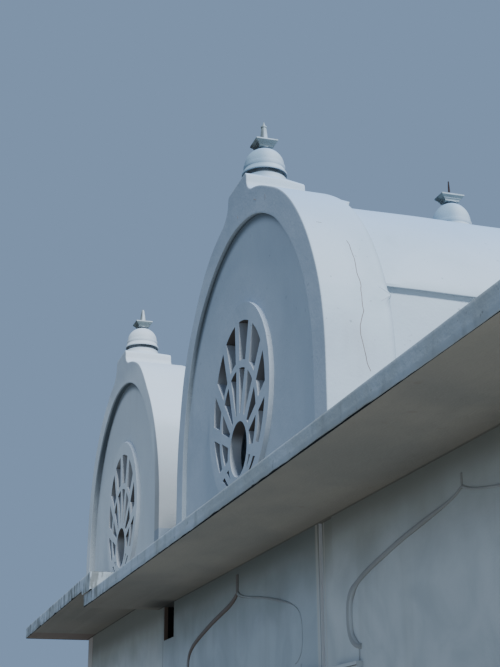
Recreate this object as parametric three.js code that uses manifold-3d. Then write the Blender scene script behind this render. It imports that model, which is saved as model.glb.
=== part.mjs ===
// A plastered temple hall with two barrel vaults across its roof, in millimetres, +Z up.
// The long front faces -Y. The origin is on the ground, at the middle of the eaves outline.
import * as THREE from 'three';
import { mergeVertices } from 'three/addons/utils/BufferGeometryUtils.js';
import Module from 'manifold-3d';

// Building
const GAP = 0.3; // clearance between touching pieces
const EAVES_HEIGHT = 4590; // underside of the hall's roof slab above the ground
const FLOOR_THICKNESS = 150;
const BAY = 7100; // spacing of the vaults, each over the end of a bay
const DEPTH = 6700; // front fascia to rear fascia
const OVERHANG = 1370; // eaves beyond the walls
const WALL = 300; // wall thickness

// Roof slabs: X is 0 where the hall's slab starts, and the wing's slab laps over that end
const HALL_SLAB = 222; // thickness
const WING_SLAB = 243;
const WING_LIFT = 276; // wing's soffit above the hall's soffit, where X is 0
const WING_FALL = 0.0105; // slope of the wing's roof down to its far end
const SLAB_LAP = 745;
const WING_SLAB_END = -7030;
const WING_PROUD = 40; // the wing's fascia stands in front of the hall's

// Walls along the front
const WING_WALL_END = -6300;
const WING_PIER = 560; // narrow pier beyond the wing's corner, just behind its wall's face
const WING_PIER_SETBACK = 10;
const WALL_JOINT = 355; // the hall's wall starts here
const SLOT_LEFT = 420;
const SLOT_WIDTH = 690;
const SLOT_HEIGHT = 590; // from its sill to the soffit
const DOOR_WIDTH = 2400;
const DOOR_HEIGHT = 2100;
const NICHE_WIDTH = 426; // shallow upright niche between the two bays
const NICHE_DEPTH = 35;

// Relief arches on the walls, one in each bay of the hall, drawn down from the soffit
const MOULDING = { width: 95, relief: 36 };
const SPIKE = { top: 90, foot: 420, width: 95 };
const CAPITAL = { drop: 1735, height: 120, width: 790, relief: 80 };

// Vaults, heights above the hall's slab
const VAULT_AXES = [1290, 1290 + BAY];
const FACE_SETBACK = 275; // arch face behind the fascia
const SPRINGING = 833;
const ARCH_OUTER = 2940;
const ARCH_WIDTH = 278;
const ARCH_DEPTHS = [965, 865];
const VAULT_OUTER = 2815;
const VAULT_THICKNESS = 180;
const DRIP_HEIGHT = 1788; // drip edge where the curve ends and the upright side starts
const DRIP_OUT = 52;
const TYMPANUM_THICKNESS = 85;
const FIELD_RELIEF = 58;
const CROWN = { rise: 345, halfWidth: 352, neckHalf: 397, neckDrop: 133, footHalf: 600, depth: 830 };
const CROWN_HOLLOW = { out: 28, down: 30 }; // bend of the hollow foot, from the neck and its mid height
const ROOT = 60; // how far a crown or a pedestal reaches into what carries it
const ARCH_SIDES = 30; // straight pieces round half a circle of the arches

// Each arch swells out of its circle towards the top, on its left and on its right: full inside
// one X, and gone outside another
const SWELLS = [
  [{ lift: 50, full: 600, end: 1200 }, { lift: 95, full: 1400, end: 2200 }],
  [{ lift: 75, full: 1300, end: 2100 }, { lift: 65, full: 500, end: 1400 }],
];

// Each tympanum's panel stands behind its arch's face, and its raised round field in front of it
const TYMPANA = [
  { setback: 100, lift: 75, field: { x: 0, height: 1250, radius: 1245 } },
  { setback: 60, lift: 0, field: { x: -30, height: 1190, radius: 1188 } },
];

// Pierced rosette: eccentric circles that nearly meet at the bottom, and ribs from the hub
const OUTER_RING = { height: 1142, radius: 1036 };
const INNER_RING = { height: 896, radius: 689 };
const HUB = { height: 579, radius: 338 };
const RING_BAR = 95; // width of the ring around each inner circle
const RIB_ANGLES = [0, 20.3, 42.4, 66, 104]; // degrees from the vertical, on both sides
const OUTER_RIB = 160;
const INNER_RIB = 122;

// Finials, with heights above the bell's rim
const FINIAL_SETBACK = 656; // axis behind the fascia
const PEDESTAL_HEIGHT = 185;
const GROOVE = { height: 42, radius: 266 }; // under the bell's rim
const RIM_RADIUS = 300;
const BELL_RADIUS = 263;
const BELL_HEIGHT = 400;
const HARMIKA_STEPS = [97, 124, 150]; // half widths, from the bottom up
const HARMIKA_STEP = 31;
const SPIRE = { radius: 57, height: 300 };
const RIDGE_SCALE = 1.14; // harmikas on the vaults' ridges against those on the crowns

const wasm = await Module();
wasm.setup();

const roofTop = EAVES_HEIGHT + HALL_SLAB;
const wingSoffit = (x) => EAVES_HEIGHT + WING_LIFT + WING_FALL * x;
const wallRear = DEPTH - OVERHANG;
const wallFoot = FLOOR_THICKNESS + GAP;
const hallRight = VAULT_AXES[1] + BAY + NICHE_WIDTH / 2;
const hallSlabEnd = hallRight + OVERHANG;
const wallTop = EAVES_HEIGHT - GAP;
const nicheLeft = VAULT_AXES[1] - NICHE_WIDTH / 2;
const nicheRight = VAULT_AXES[1] + NICHE_WIDTH / 2;

const building = new THREE.Group();
building.position.set(-(WING_SLAB_END + hallSlabEnd) / 2, -DEPTH / 2, 0);

const plaster = () => new THREE.MeshStandardMaterial({ color: '#e4e6e3', roughness: 0.9 });
const wallPlaster = () => new THREE.MeshStandardMaterial({ color: '#b9b7b2', roughness: 0.92 });
const slabPlaster = () => new THREE.MeshStandardMaterial({ color: '#9a958b', roughness: 0.95 });
const floorConcrete = () => new THREE.MeshStandardMaterial({ color: '#85837e', roughness: 0.95 });

function add(name, geometry, material) {
  const mesh = new THREE.Mesh(geometry, material);
  mesh.name = name;
  building.add(mesh);
}

// Closed geometries as solids for cutting and joining, and back
function solid(geometry) {
  const bare = geometry.clone();
  bare.deleteAttribute('normal');
  bare.deleteAttribute('uv');
  const merged = mergeVertices(bare, 1e-3);
  const mesh = new wasm.Mesh({
    numProp: 3,
    vertProperties: Float32Array.from(merged.attributes.position.array),
    triVerts: Uint32Array.from(merged.index.array),
  });
  return new wasm.Manifold(mesh);
}

function geometryOf(manifold) {
  const mesh = manifold.getMesh();
  const geometry = new THREE.BufferGeometry();
  geometry.setAttribute('position', new THREE.BufferAttribute(mesh.vertProperties, 3));
  geometry.setIndex(new THREE.BufferAttribute(mesh.triVerts, 1));
  geometry.computeVertexNormals();
  return geometry;
}

// The same piece on the rear front, as a mirror image with its faces turned outwards again
function mirrored(geometry) {
  const copy = mergeVertices(geometry.clone()).scale(1, -1, 1).translate(0, DEPTH, 0);
  const corners = copy.index.array;
  for (let i = 0; i < corners.length; i += 3) {
    [corners[i], corners[i + 2]] = [corners[i + 2], corners[i]];
  }
  copy.computeVertexNormals();
  return copy;
}

function addFrontAndRear(name, geometry, material) {
  add(`front_${name}`, geometry, material());
  add(`rear_${name}`, mirrored(geometry), material());
}

// Basic forms: a box between two corners, and outlines in X and Z that stand at a depth y
function block(low, high) {
  const size = high.map((value, axis) => value - low[axis]);
  const middle = high.map((value, axis) => (value + low[axis]) / 2);
  return new THREE.BoxGeometry(...size).translate(...middle);
}

function outline(points) {
  return new THREE.Shape(points.map(([x, z]) => new THREE.Vector2(x, z)));
}

function standing(shape, y, depth, curveSegments = 12) {
  const geometry = new THREE.ExtrudeGeometry(shape, { depth, bevelEnabled: false, curveSegments });
  return geometry.rotateX(Math.PI / 2).translate(0, y + depth, 0);
}

// Walls
const frontWall = (left, right, bottom, top) =>
  block([left, OVERHANG, bottom], [right, OVERHANG + WALL, top]);

function wingWall() {
  const left = WING_WALL_END + GAP;
  const right = WALL_JOINT - GAP;
  const step = EAVES_HEIGHT - GAP;
  const foot = [[left, wallFoot], [right, wallFoot], [right, step], [-GAP, step]];
  const head = [[-GAP, wingSoffit(0) - GAP], [left, wingSoffit(left) - GAP]];
  return standing(outline([...foot, ...head]), OVERHANG, WALL);
}

function slottedWall() {
  const top = EAVES_HEIGHT - GAP;
  const sill = EAVES_HEIGHT - SLOT_HEIGHT;
  const slotRight = SLOT_LEFT + SLOT_WIDTH;
  const right = nicheLeft - GAP;
  const corners = [[WALL_JOINT, wallFoot], [right, wallFoot], [right, top], [slotRight, top]];
  const slot = [[slotRight, sill], [SLOT_LEFT, sill], [SLOT_LEFT, top], [WALL_JOINT, top]];
  return standing(outline([...corners, ...slot]), OVERHANG, WALL);
}

function hallEndWall() {
  const front = OVERHANG + WALL + GAP;
  return block([hallRight - WALL, front, wallFoot], [hallRight, DEPTH - front, wallTop]);
}

// The wing's end wall is wider than the others, and its narrow face shows beyond the front wall
function wingEndWall() {
  const front = OVERHANG + WING_PIER_SETBACK;
  const outer = WING_WALL_END - WING_PIER;
  const head = [[WING_WALL_END, wingSoffit(WING_WALL_END) - GAP], [outer, wingSoffit(outer) - GAP]];
  const shape = outline([[outer, 0], [WING_WALL_END, 0], ...head]);
  return standing(shape, front, DEPTH - 2 * front);
}

const doorAxis = VAULT_AXES[1] + BAY / 2;
const doorLeft = doorAxis - DOOR_WIDTH / 2;
const doorRight = doorAxis + DOOR_WIDTH / 2;
const doorTop = FLOOR_THICKNESS + DOOR_HEIGHT;

const floorPlate = block([WING_WALL_END + GAP, OVERHANG, 0], [hallRight, wallRear, FLOOR_THICKNESS]);
add('floor', floorPlate, floorConcrete());
addFrontAndRear('wing_wall', wingWall(), wallPlaster);
addFrontAndRear('slotted_wall', slottedWall(), wallPlaster);
addFrontAndRear('door_wall_left', frontWall(nicheRight, doorLeft, wallFoot, doorTop), wallPlaster);
addFrontAndRear('door_wall_right', frontWall(doorRight, hallRight, wallFoot, doorTop), wallPlaster);
addFrontAndRear('door_head_wall', frontWall(nicheRight, hallRight, doorTop + GAP, wallTop), wallPlaster);
add('wing_end_wall', wingEndWall(), wallPlaster());
add('hall_end_wall', hallEndWall(), wallPlaster());

// Back of the niche between the bays
const nicheWall = () =>
  block([nicheLeft, OVERHANG + NICHE_DEPTH, wallFoot], [nicheRight - GAP, OVERHANG + WALL, wallTop]);

addFrontAndRear('niche_wall', nicheWall(), wallPlaster);

// Relief arch: a flat ogee that bends down to upright sides and curls inwards at its feet
function ogeeHalf() {
  const point = (x, drop) => new THREE.Vector2(x, EAVES_HEIGHT - drop);
  const points = [
    [-2640, CAPITAL.drop], [-2645, 1650], [-2655, 1565], [-2770, 1495], [-2832, 1390],
    [-2850, 1250], [-2835, 1100], [-2765, 985], [-2600, 885], [-2240, 785],
    [-1465, 637], [-970, 562], [-430, 485], [-150, 430], [0, 375],
  ];
  return points.map(([x, drop]) => point(x, drop));
}

function bandOutline(points, width) {
  const sides = [[], []];
  points.forEach((point, i) => {
    const before = points[Math.max(i - 1, 0)];
    const after = points[Math.min(i + 1, points.length - 1)];
    const along = after.clone().sub(before);
    const across = new THREE.Vector2(-along.y, along.x).setLength(width / 2);
    sides[0].push(point.clone().add(across));
    sides[1].unshift(point.clone().sub(across));
  });
  return [...sides[0], ...sides[1]];
}

function reliefArch(axis) {
  const half = ogeeHalf();
  const whole = [...half, ...half.slice(0, -1).reverse().map((point) => new THREE.Vector2(-point.x, point.y))];
  const band = new THREE.Shape(bandOutline(whole, MOULDING.width));
  const front = OVERHANG - MOULDING.relief;
  const shelf = EAVES_HEIGHT - CAPITAL.drop;
  const edge = BAY / 2 - NICHE_WIDTH / 2 - GAP;
  const spikeLow = [-SPIKE.width / 2, front, EAVES_HEIGHT - SPIKE.foot];
  const spike = block(spikeLow, [SPIKE.width / 2, OVERHANG - GAP, EAVES_HEIGHT - SPIKE.top]);
  const capitals = [-1, 1].map((side) => {
    const xs = [side * edge, side * (edge - CAPITAL.width)].sort((a, b) => a - b);
    const low = [xs[0], OVERHANG - CAPITAL.relief, shelf - CAPITAL.height];
    return block(low, [xs[1], OVERHANG - GAP, shelf + 5]);
  });
  const arch = solid(standing(band, front, MOULDING.relief - GAP));
  const joined = [spike, ...capitals].reduce((all, piece) => all.add(solid(piece)), arch);
  return geometryOf(joined).translate(axis, 0, 0);
}

addFrontAndRear('relief_arch_1', reliefArch(VAULT_AXES[0] + BAY / 2), wallPlaster);
addFrontAndRear('relief_arch_2', reliefArch(VAULT_AXES[1] + BAY / 2), wallPlaster);

// Roof slabs, open under the vaults
const vaultInside = VAULT_OUTER - VAULT_THICKNESS;
const openingHalf = vaultInside - 250;
const openingFront = OVERHANG + WALL + 100;

// A slab as an outline in X and Z that runs from front to rear, with openings between two X each
function slab(corners, front, openings) {
  const plate = solid(standing(outline(corners), front, DEPTH - 2 * front));
  const heights = corners.map(([, z]) => z);
  const cuts = openings.map(([from, to]) => solid(block(
    [from, openingFront, Math.min(...heights) - 10],
    [to, DEPTH - openingFront, Math.max(...heights) + 10],
  )));
  return geometryOf(cuts.reduce((rest, cut) => rest.subtract(cut), plate));
}

const hallCorners = [[0, EAVES_HEIGHT], [hallSlabEnd, EAVES_HEIGHT], [hallSlabEnd, roofTop], [0, roofTop]];
const wingCorners = [
  [WING_SLAB_END, wingSoffit(WING_SLAB_END)], [SLAB_LAP, wingSoffit(SLAB_LAP)],
  [SLAB_LAP, wingSoffit(SLAB_LAP) + WING_SLAB], [WING_SLAB_END, wingSoffit(WING_SLAB_END) + WING_SLAB],
];
const hallOpenings = [
  [SLAB_LAP + 100, VAULT_AXES[0] + openingHalf],
  [VAULT_AXES[1] - openingHalf, VAULT_AXES[1] + openingHalf],
];
const wingOpenings = [[VAULT_AXES[0] - openingHalf, -100]];
add('hall_roof_slab', slab(hallCorners, 0, hallOpenings), slabPlaster());
add('wing_roof_slab', slab(wingCorners, -WING_PROUD, wingOpenings), slabPlaster());

// Vault parts are drawn round their own axis, from the hall slab's top, and then put in place
const circleTop = SPRINGING + ARCH_OUTER;
const archInner = ARCH_OUTER - ARCH_WIDTH;

function stiltedArch(radius) {
  const shape = new THREE.Shape();
  shape.moveTo(radius, GAP);
  shape.lineTo(radius, SPRINGING);
  shape.absarc(0, SPRINGING, radius, 0, Math.PI, false);
  shape.lineTo(-radius, GAP);
  return shape;
}

// Height above the slab of the swollen arch's outer edge at an X
function archEdge(x, swells) {
  const { lift, full, end } = swells[x < 0 ? 0 : 1];
  const share = THREE.MathUtils.clamp((end - Math.abs(x)) / (end - full), 0, 1);
  return SPRINGING + Math.sqrt((ARCH_OUTER + lift * share) ** 2 - x ** 2);
}

function archRing(inner, swells) {
  const shape = new THREE.Shape();
  shape.moveTo(ARCH_OUTER, GAP);
  shape.lineTo(ARCH_OUTER, SPRINGING);
  for (let i = 1; i < ARCH_SIDES; i += 1) {
    const x = ARCH_OUTER * Math.cos(Math.PI * i / ARCH_SIDES);
    shape.lineTo(x, archEdge(x, swells));
  }
  shape.lineTo(-ARCH_OUTER, SPRINGING);
  shape.lineTo(-ARCH_OUTER, GAP);
  shape.lineTo(-inner, GAP);
  shape.lineTo(-inner, SPRINGING);
  shape.absarc(0, SPRINGING, inner, Math.PI, 0, true);
  shape.lineTo(inner, GAP);
  return shape;
}

// The crown: a square block on the arch, with a hollow foot on each side and chamfered shoulders
function crown(swells) {
  const { rise, halfWidth, neckHalf, neckDrop, footHalf, depth } = CROWN;
  const top = circleTop + rise;
  const [leftFoot, rightFoot] = [archEdge(-footHalf, swells), archEdge(footHalf, swells)];
  const bend = (foot) => [neckHalf + CROWN_HOLLOW.out, (foot + top - neckDrop) / 2 - CROWN_HOLLOW.down];
  const shoulder = [neckHalf - 5, top - (neckHalf - halfWidth)];
  const shape = new THREE.Shape();
  shape.moveTo(footHalf, rightFoot - ROOT);
  shape.lineTo(footHalf, rightFoot);
  shape.quadraticCurveTo(...bend(rightFoot), neckHalf, top - neckDrop);
  shape.lineTo(...shoulder);
  shape.lineTo(halfWidth, top);
  shape.lineTo(-halfWidth, top);
  shape.lineTo(-shoulder[0], shoulder[1]);
  shape.lineTo(-neckHalf, top - neckDrop);
  shape.quadraticCurveTo(-bend(leftFoot)[0], bend(leftFoot)[1], -footHalf, leftFoot);
  shape.lineTo(-footHalf, leftFoot - ROOT);
  return standing(shape, FACE_SETBACK, depth, 6);
}

// A turned solid from a profile of radii and heights
function turned(profile, segments = 20) {
  const points = profile.map(([radius, height]) => new THREE.Vector2(radius, height));
  return new THREE.LatheGeometry(points, segments).rotateX(Math.PI / 2);
}

// Concave foot under a bell, sunk into what carries it, with a groove below the bell's rim
function pedestal(foot, sunk) {
  const head = RIM_RADIUS - 8;
  const lip = PEDESTAL_HEIGHT - GROOVE.height;
  const flare = (t) => head + (foot - head) * (1 - t) ** 3;
  const profile = [[0, -sunk], [foot, -sunk], [foot, 0]];
  for (const t of [0.2, 0.5, 1]) profile.push([flare(t), t * lip]);
  profile.push([GROOVE.radius, lip], [GROOVE.radius, PEDESTAL_HEIGHT], [0, PEDESTAL_HEIGHT]);
  return turned(profile);
}

// The front arch that stands proud of the vault, with its crown and the finial's pedestal
function portalArch(swells, depth) {
  const ring = solid(standing(archRing(archInner, swells), FACE_SETBACK, depth, 14));
  const foot = pedestal(CROWN.halfWidth - 8, ROOT).translate(0, FINIAL_SETBACK, circleTop + CROWN.rise);
  return ring.add(solid(crown(swells))).add(solid(foot));
}

// Two rows of holes between eccentric circles, parted by ribs that spread from the hub
function rosetteHoles(front, depth) {
  const disc = ({ height, radius }, extra = 0) => {
    const circle = new THREE.Shape().absarc(0, height, radius + extra, 0, 2 * Math.PI, false);
    return solid(standing(circle, front, depth));
  };
  const ribs = (width) => {
    const angles = [...RIB_ANGLES, ...RIB_ANGLES.slice(1).map((angle) => -angle)];
    const bars = angles.map((angle) => {
      const bar = block([-width / 2, front - 1, 0], [width / 2, front + depth + 1, ARCH_OUTER]);
      return solid(bar.rotateY(THREE.MathUtils.degToRad(angle)).translate(0, 0, HUB.height));
    });
    return bars.reduce((all, bar) => all.add(bar));
  };
  const outerRow = disc(OUTER_RING).subtract(disc(INNER_RING, RING_BAR)).subtract(ribs(OUTER_RIB));
  const innerRow = disc(INNER_RING).subtract(disc(HUB, RING_BAR)).subtract(ribs(INNER_RIB));
  return outerRow.add(innerRow).add(disc(HUB));
}

function tympanum({ setback, lift, field }) {
  const face = FACE_SETBACK + setback;
  const front = face - FIELD_RELIEF;
  const panel = solid(standing(stiltedArch(archInner - GAP), face, TYMPANUM_THICKNESS, 14));
  const circle = new THREE.Shape().absarc(field.x, field.height, field.radius, 0, 2 * Math.PI, false);
  const disc = solid(standing(circle, front, FIELD_RELIEF + TYMPANUM_THICKNESS / 2, 14));
  const underSlabTop = solid(block([-archInner, 0, -archInner], [archInner, DEPTH, GAP]));
  const through = FIELD_RELIEF + TYMPANUM_THICKNESS + 20;
  const holes = rosetteHoles(front - 10, through).translate([0, 0, lift]);
  return panel.add(disc.subtract(underSlabTop)).subtract(holes);
}

// Vault shell: an upright side up to the drip edge, and the barrel above it
function vaultShell(archDepth) {
  const turn = Math.asin((DRIP_HEIGHT - SPRINGING) / VAULT_OUTER);
  const side = VAULT_OUTER * Math.cos(turn) - DRIP_OUT;
  const inside = side - VAULT_THICKNESS;
  const innerTurn = Math.acos(inside / vaultInside);
  const innerSpring = SPRINGING + vaultInside * Math.sin(innerTurn);
  const shape = new THREE.Shape();
  shape.moveTo(side, GAP);
  shape.lineTo(side, DRIP_HEIGHT);
  shape.absarc(0, SPRINGING, VAULT_OUTER, turn, Math.PI - turn, false);
  shape.lineTo(-side, DRIP_HEIGHT);
  shape.lineTo(-side, GAP);
  shape.lineTo(-inside, GAP);
  shape.lineTo(-inside, innerSpring);
  shape.absarc(0, SPRINGING, vaultInside, Math.PI - innerTurn, innerTurn, true);
  shape.lineTo(inside, GAP);
  const front = FACE_SETBACK + archDepth + GAP;
  const shell = solid(standing(shape, front, DEPTH - 2 * front, 14));
  const foot = pedestal(RIM_RADIUS + 40, 1.5 * ROOT).translate(0, DEPTH / 2, SPRINGING + VAULT_OUTER);
  return shell.add(solid(foot));
}

// Finial: a bell with a flared rim and a raised band, and over it a stepped square with a spire
function bell() {
  const shoulder = 155;
  const neck = 92;
  const arc = [0.25, 0.5, 0.72, 0.88].map((t) => {
    const angle = t * Math.PI / 2;
    return [BELL_RADIUS * Math.cos(angle), shoulder + (BELL_HEIGHT - shoulder - 18) * Math.sin(angle)];
  });
  return turned([
    [0, 0], [RIM_RADIUS, 0], [RIM_RADIUS, 27], [BELL_RADIUS + 7, 78], [BELL_RADIUS + 12, 92],
    [BELL_RADIUS + 12, 138], [BELL_RADIUS, shoulder], ...arc,
    [neck + 5, BELL_HEIGHT - 14], [neck, BELL_HEIGHT], [0, BELL_HEIGHT],
  ]);
}

function harmika() {
  const steps = HARMIKA_STEPS.map((half, i) => {
    const bottom = i === 0 ? 0 : i * HARMIKA_STEP - 1;
    return solid(block([-half, -half, bottom], [half, half, (i + 1) * HARMIKA_STEP]));
  });
  const top = HARMIKA_STEPS.length * HARMIKA_STEP;
  const { radius, height } = SPIRE;
  const spire = turned([
    [0, -5], [radius, -5], [radius * 0.62, height * 0.7], [radius * 0.74, height * 0.73],
    [radius * 0.7, height * 0.79], [radius * 0.35, height * 0.83], [0, height],
  ], 10).translate(0, 0, top);
  return steps.reduce((all, step) => all.add(step)).add(solid(spire));
}

function addFinial(name, x, y, base, scale = 1) {
  const top = geometryOf(harmika()).scale(scale, scale, scale);
  add(`${name}_bell`, bell().translate(x, y, base + GAP), plaster());
  add(`${name}_harmika`, top.translate(x, y, base + 2 * GAP + BELL_HEIGHT), plaster());
}

// Where a vault reaches over the wing's higher slab, its foot is cut to stand on that slab
const wingBodyEnd = SLAB_LAP + GAP;
const wingBodyTop = (x) => wingSoffit(x) + WING_SLAB + GAP;
const wingSlabBody = solid(standing(outline([
  [WING_SLAB_END, EAVES_HEIGHT - HALL_SLAB], [wingBodyEnd, EAVES_HEIGHT - HALL_SLAB],
  [wingBodyEnd, wingBodyTop(wingBodyEnd)], [WING_SLAB_END, wingBodyTop(WING_SLAB_END)],
]), -2 * WING_PROUD, DEPTH + 4 * WING_PROUD));

function placedVaultPart(part, axis) {
  return geometryOf(part.translate([axis, 0, roofTop]).subtract(wingSlabBody));
}

VAULT_AXES.forEach((axis, i) => {
  const place = i + 1;
  addFrontAndRear(`portal_arch_${place}`, placedVaultPart(portalArch(SWELLS[i], ARCH_DEPTHS[i]), axis), plaster);
  addFrontAndRear(`tympanum_${place}`, placedVaultPart(tympanum(TYMPANA[i]), axis), plaster);
  add(`vault_${place}`, placedVaultPart(vaultShell(ARCH_DEPTHS[i]), axis), plaster());
  const crownTop = roofTop + circleTop + CROWN.rise + PEDESTAL_HEIGHT;
  addFinial(`front_finial_${place}`, axis, FINIAL_SETBACK, crownTop);
  addFinial(`rear_finial_${place}`, axis, DEPTH - FINIAL_SETBACK, crownTop);
  const ridgeTop = roofTop + SPRINGING + VAULT_OUTER + PEDESTAL_HEIGHT;
  addFinial(`ridge_finial_${place}`, axis, DEPTH / 2, ridgeTop, RIDGE_SCALE);
});

export default building;
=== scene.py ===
# %% [markdown]
# A plastered temple hall with two barrel vaults, seen from the ground near its front corner.
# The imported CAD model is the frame: every piece here is made in metres, in its coordinates.
# X runs along the front, the front faces -Y, and Z is the height above the ground.

# %% Load the frame
import math
import bmesh
import bpy
from mathutils import Matrix, Vector, noise
from mathutils.bvhtree import BVHTree


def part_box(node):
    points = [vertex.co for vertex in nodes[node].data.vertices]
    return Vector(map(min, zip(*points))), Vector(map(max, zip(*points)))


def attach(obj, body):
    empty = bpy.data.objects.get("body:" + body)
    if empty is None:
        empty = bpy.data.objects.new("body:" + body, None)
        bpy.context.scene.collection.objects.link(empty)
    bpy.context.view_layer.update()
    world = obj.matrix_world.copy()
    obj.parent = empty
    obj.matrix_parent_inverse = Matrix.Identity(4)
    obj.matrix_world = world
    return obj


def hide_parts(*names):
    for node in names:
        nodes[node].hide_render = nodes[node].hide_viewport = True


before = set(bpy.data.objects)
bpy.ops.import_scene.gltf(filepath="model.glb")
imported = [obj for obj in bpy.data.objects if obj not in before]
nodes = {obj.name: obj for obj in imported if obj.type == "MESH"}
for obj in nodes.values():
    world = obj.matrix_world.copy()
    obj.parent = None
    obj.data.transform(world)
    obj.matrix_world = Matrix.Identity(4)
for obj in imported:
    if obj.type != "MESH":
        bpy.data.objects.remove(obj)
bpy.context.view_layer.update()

slab_low, slab_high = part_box("hall_roof_slab")
wing_low, wing_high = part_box("wing_roof_slab")
roof_top = slab_high.z
soffit = slab_low.z
depth_middle = (slab_low.y + slab_high.y) / 2
SPRINGING = 0.833    # where the arches' round part starts, above the slab

def axes_of(kind):
    """The X of both front pieces of a kind, the far one first."""
    return [sum(corner.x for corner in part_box(f"front_{kind}_{number}")) / 2 for number in (1, 2)]

def add(name, data):
    """A new object in the scene."""
    thing = bpy.data.objects.new(name, data)
    bpy.context.scene.collection.objects.link(thing)
    return thing

vault_axes = axes_of("portal_arch")
print("roof top", round(roof_top, 3), "vault axes", [round(x, 3) for x in vault_axes])

# %% [markdown]
# The camera stands at eye height near the right end of the building and looks up along it.
# Its place and turn were solved from straight edges and circles of the building, so the
# matrix is built from three angles: turn it round the vertical, tip it up, and roll it.

# %% Camera
EYE = Vector((17.0966, -7.35, 1.5981))
TURN, TIP, ROLL = (math.radians(angle) for angle in (72.082, 20.139, 0.464))
FOCAL_PIXELS = 1230.9
IMAGE_HEIGHT = 667

ahead = Vector((-math.sin(TURN) * math.cos(TIP), math.cos(TURN) * math.cos(TIP), math.sin(TIP)))
right = Vector((math.cos(TURN), math.sin(TURN), 0))
down = ahead.cross(right)
rolled_right = math.cos(ROLL) * right + math.sin(ROLL) * down
rolled_down = math.cos(ROLL) * down - math.sin(ROLL) * right
camera = add("camera", bpy.data.cameras.new("camera"))
turned_view = Matrix((rolled_right, -rolled_down, -ahead)).transposed()
camera.matrix_world = Matrix.Translation(EYE) @ turned_view.to_4x4()
camera.data.sensor_width = 36
camera.data.lens = camera.data.sensor_width * FOCAL_PIXELS / IMAGE_HEIGHT
camera.data.clip_end = 1000
bpy.context.scene.camera = camera
print("lens", round(camera.data.lens, 2), "mm")

# %% [markdown]
# The stage is a plain pale floor under a plain pale sky. A building is judged against
# daylight, so the sky is a dim cool light from all sides. One soft sun stands high over the
# right end, in line with the front, so that it lights the reveals and barely grazes the front.

# %% Floor, sky and sun
FLOOR_HALF = 400
FLOOR_LEVEL = -0.002    # just under the ground line, so that the two never flicker
FLOOR_GREY = (0.322, 0.317, 0.298, 1)
SKY = (0.205, 0.305, 0.47, 1)
SUN_COLOUR = (0.92, 1.04, 1.16)
SUN_FROM = Vector((0.63, -0.04, 0.76))

floor_mesh = bpy.data.meshes.new("studio_floor")
corners = [(-1, -1), (1, -1), (1, 1), (-1, 1)]
places = [(x * FLOOR_HALF, y * FLOOR_HALF, FLOOR_LEVEL) for x, y in corners]
floor_mesh.from_pydata(places, [], [(0, 1, 2, 3)])
studio_floor = add("studio_floor", floor_mesh)
floor_paint = bpy.data.materials.new("studio_floor")
floor_paint.use_nodes = True
floor_inputs = floor_paint.node_tree.nodes["Principled BSDF"].inputs
floor_inputs["Base Color"].default_value = FLOOR_GREY
floor_inputs["Roughness"].default_value = 0.9
floor_mesh.materials.append(floor_paint)

world = bpy.data.worlds.new("pale_sky")
bpy.context.scene.world = world
world.use_nodes = True
sky = world.node_tree.nodes["Background"].inputs
sky["Color"].default_value = SKY
sky["Strength"].default_value = 1.0

sun = add("sun", bpy.data.lights.new("sun", "SUN"))
sun.data.energy = 4.35
sun.data.angle = math.radians(9)
sun.data.color = SUN_COLOUR
sun.rotation_euler = SUN_FROM.to_track_quat("Z", "Y").to_euler()
print("sun from", tuple(round(value, 2) for value in SUN_FROM))

# %% [markdown]
# Every finish is a tree of shader nodes that read the surface's place in metres. It could
# be clicked together in the shader editor, but a small class keeps such a tree short to
# write and easy to repeat: each call adds one node and returns its output.

# %% A helper for finishes
class Nodes:
    """A node tree under construction, for a finish or for a shape."""

    def node(self, kind, inputs, output=0, **settings):
        node = self.tree.nodes.new(kind)
        for key, value in settings.items():
            setattr(node, key, value)
        for key, value in inputs.items():
            for source in value if isinstance(value, list) else [value]:
                if isinstance(source, bpy.types.NodeSocket):
                    self.tree.links.new(source, node.inputs[key])
                else:
                    node.inputs[key].default_value = source
        return node if output is None else node.outputs[output]

    def math(self, operation, a, b=0.0):
        return self.node("ShaderNodeMath", {0: a, 1: b}, operation=operation)

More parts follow.
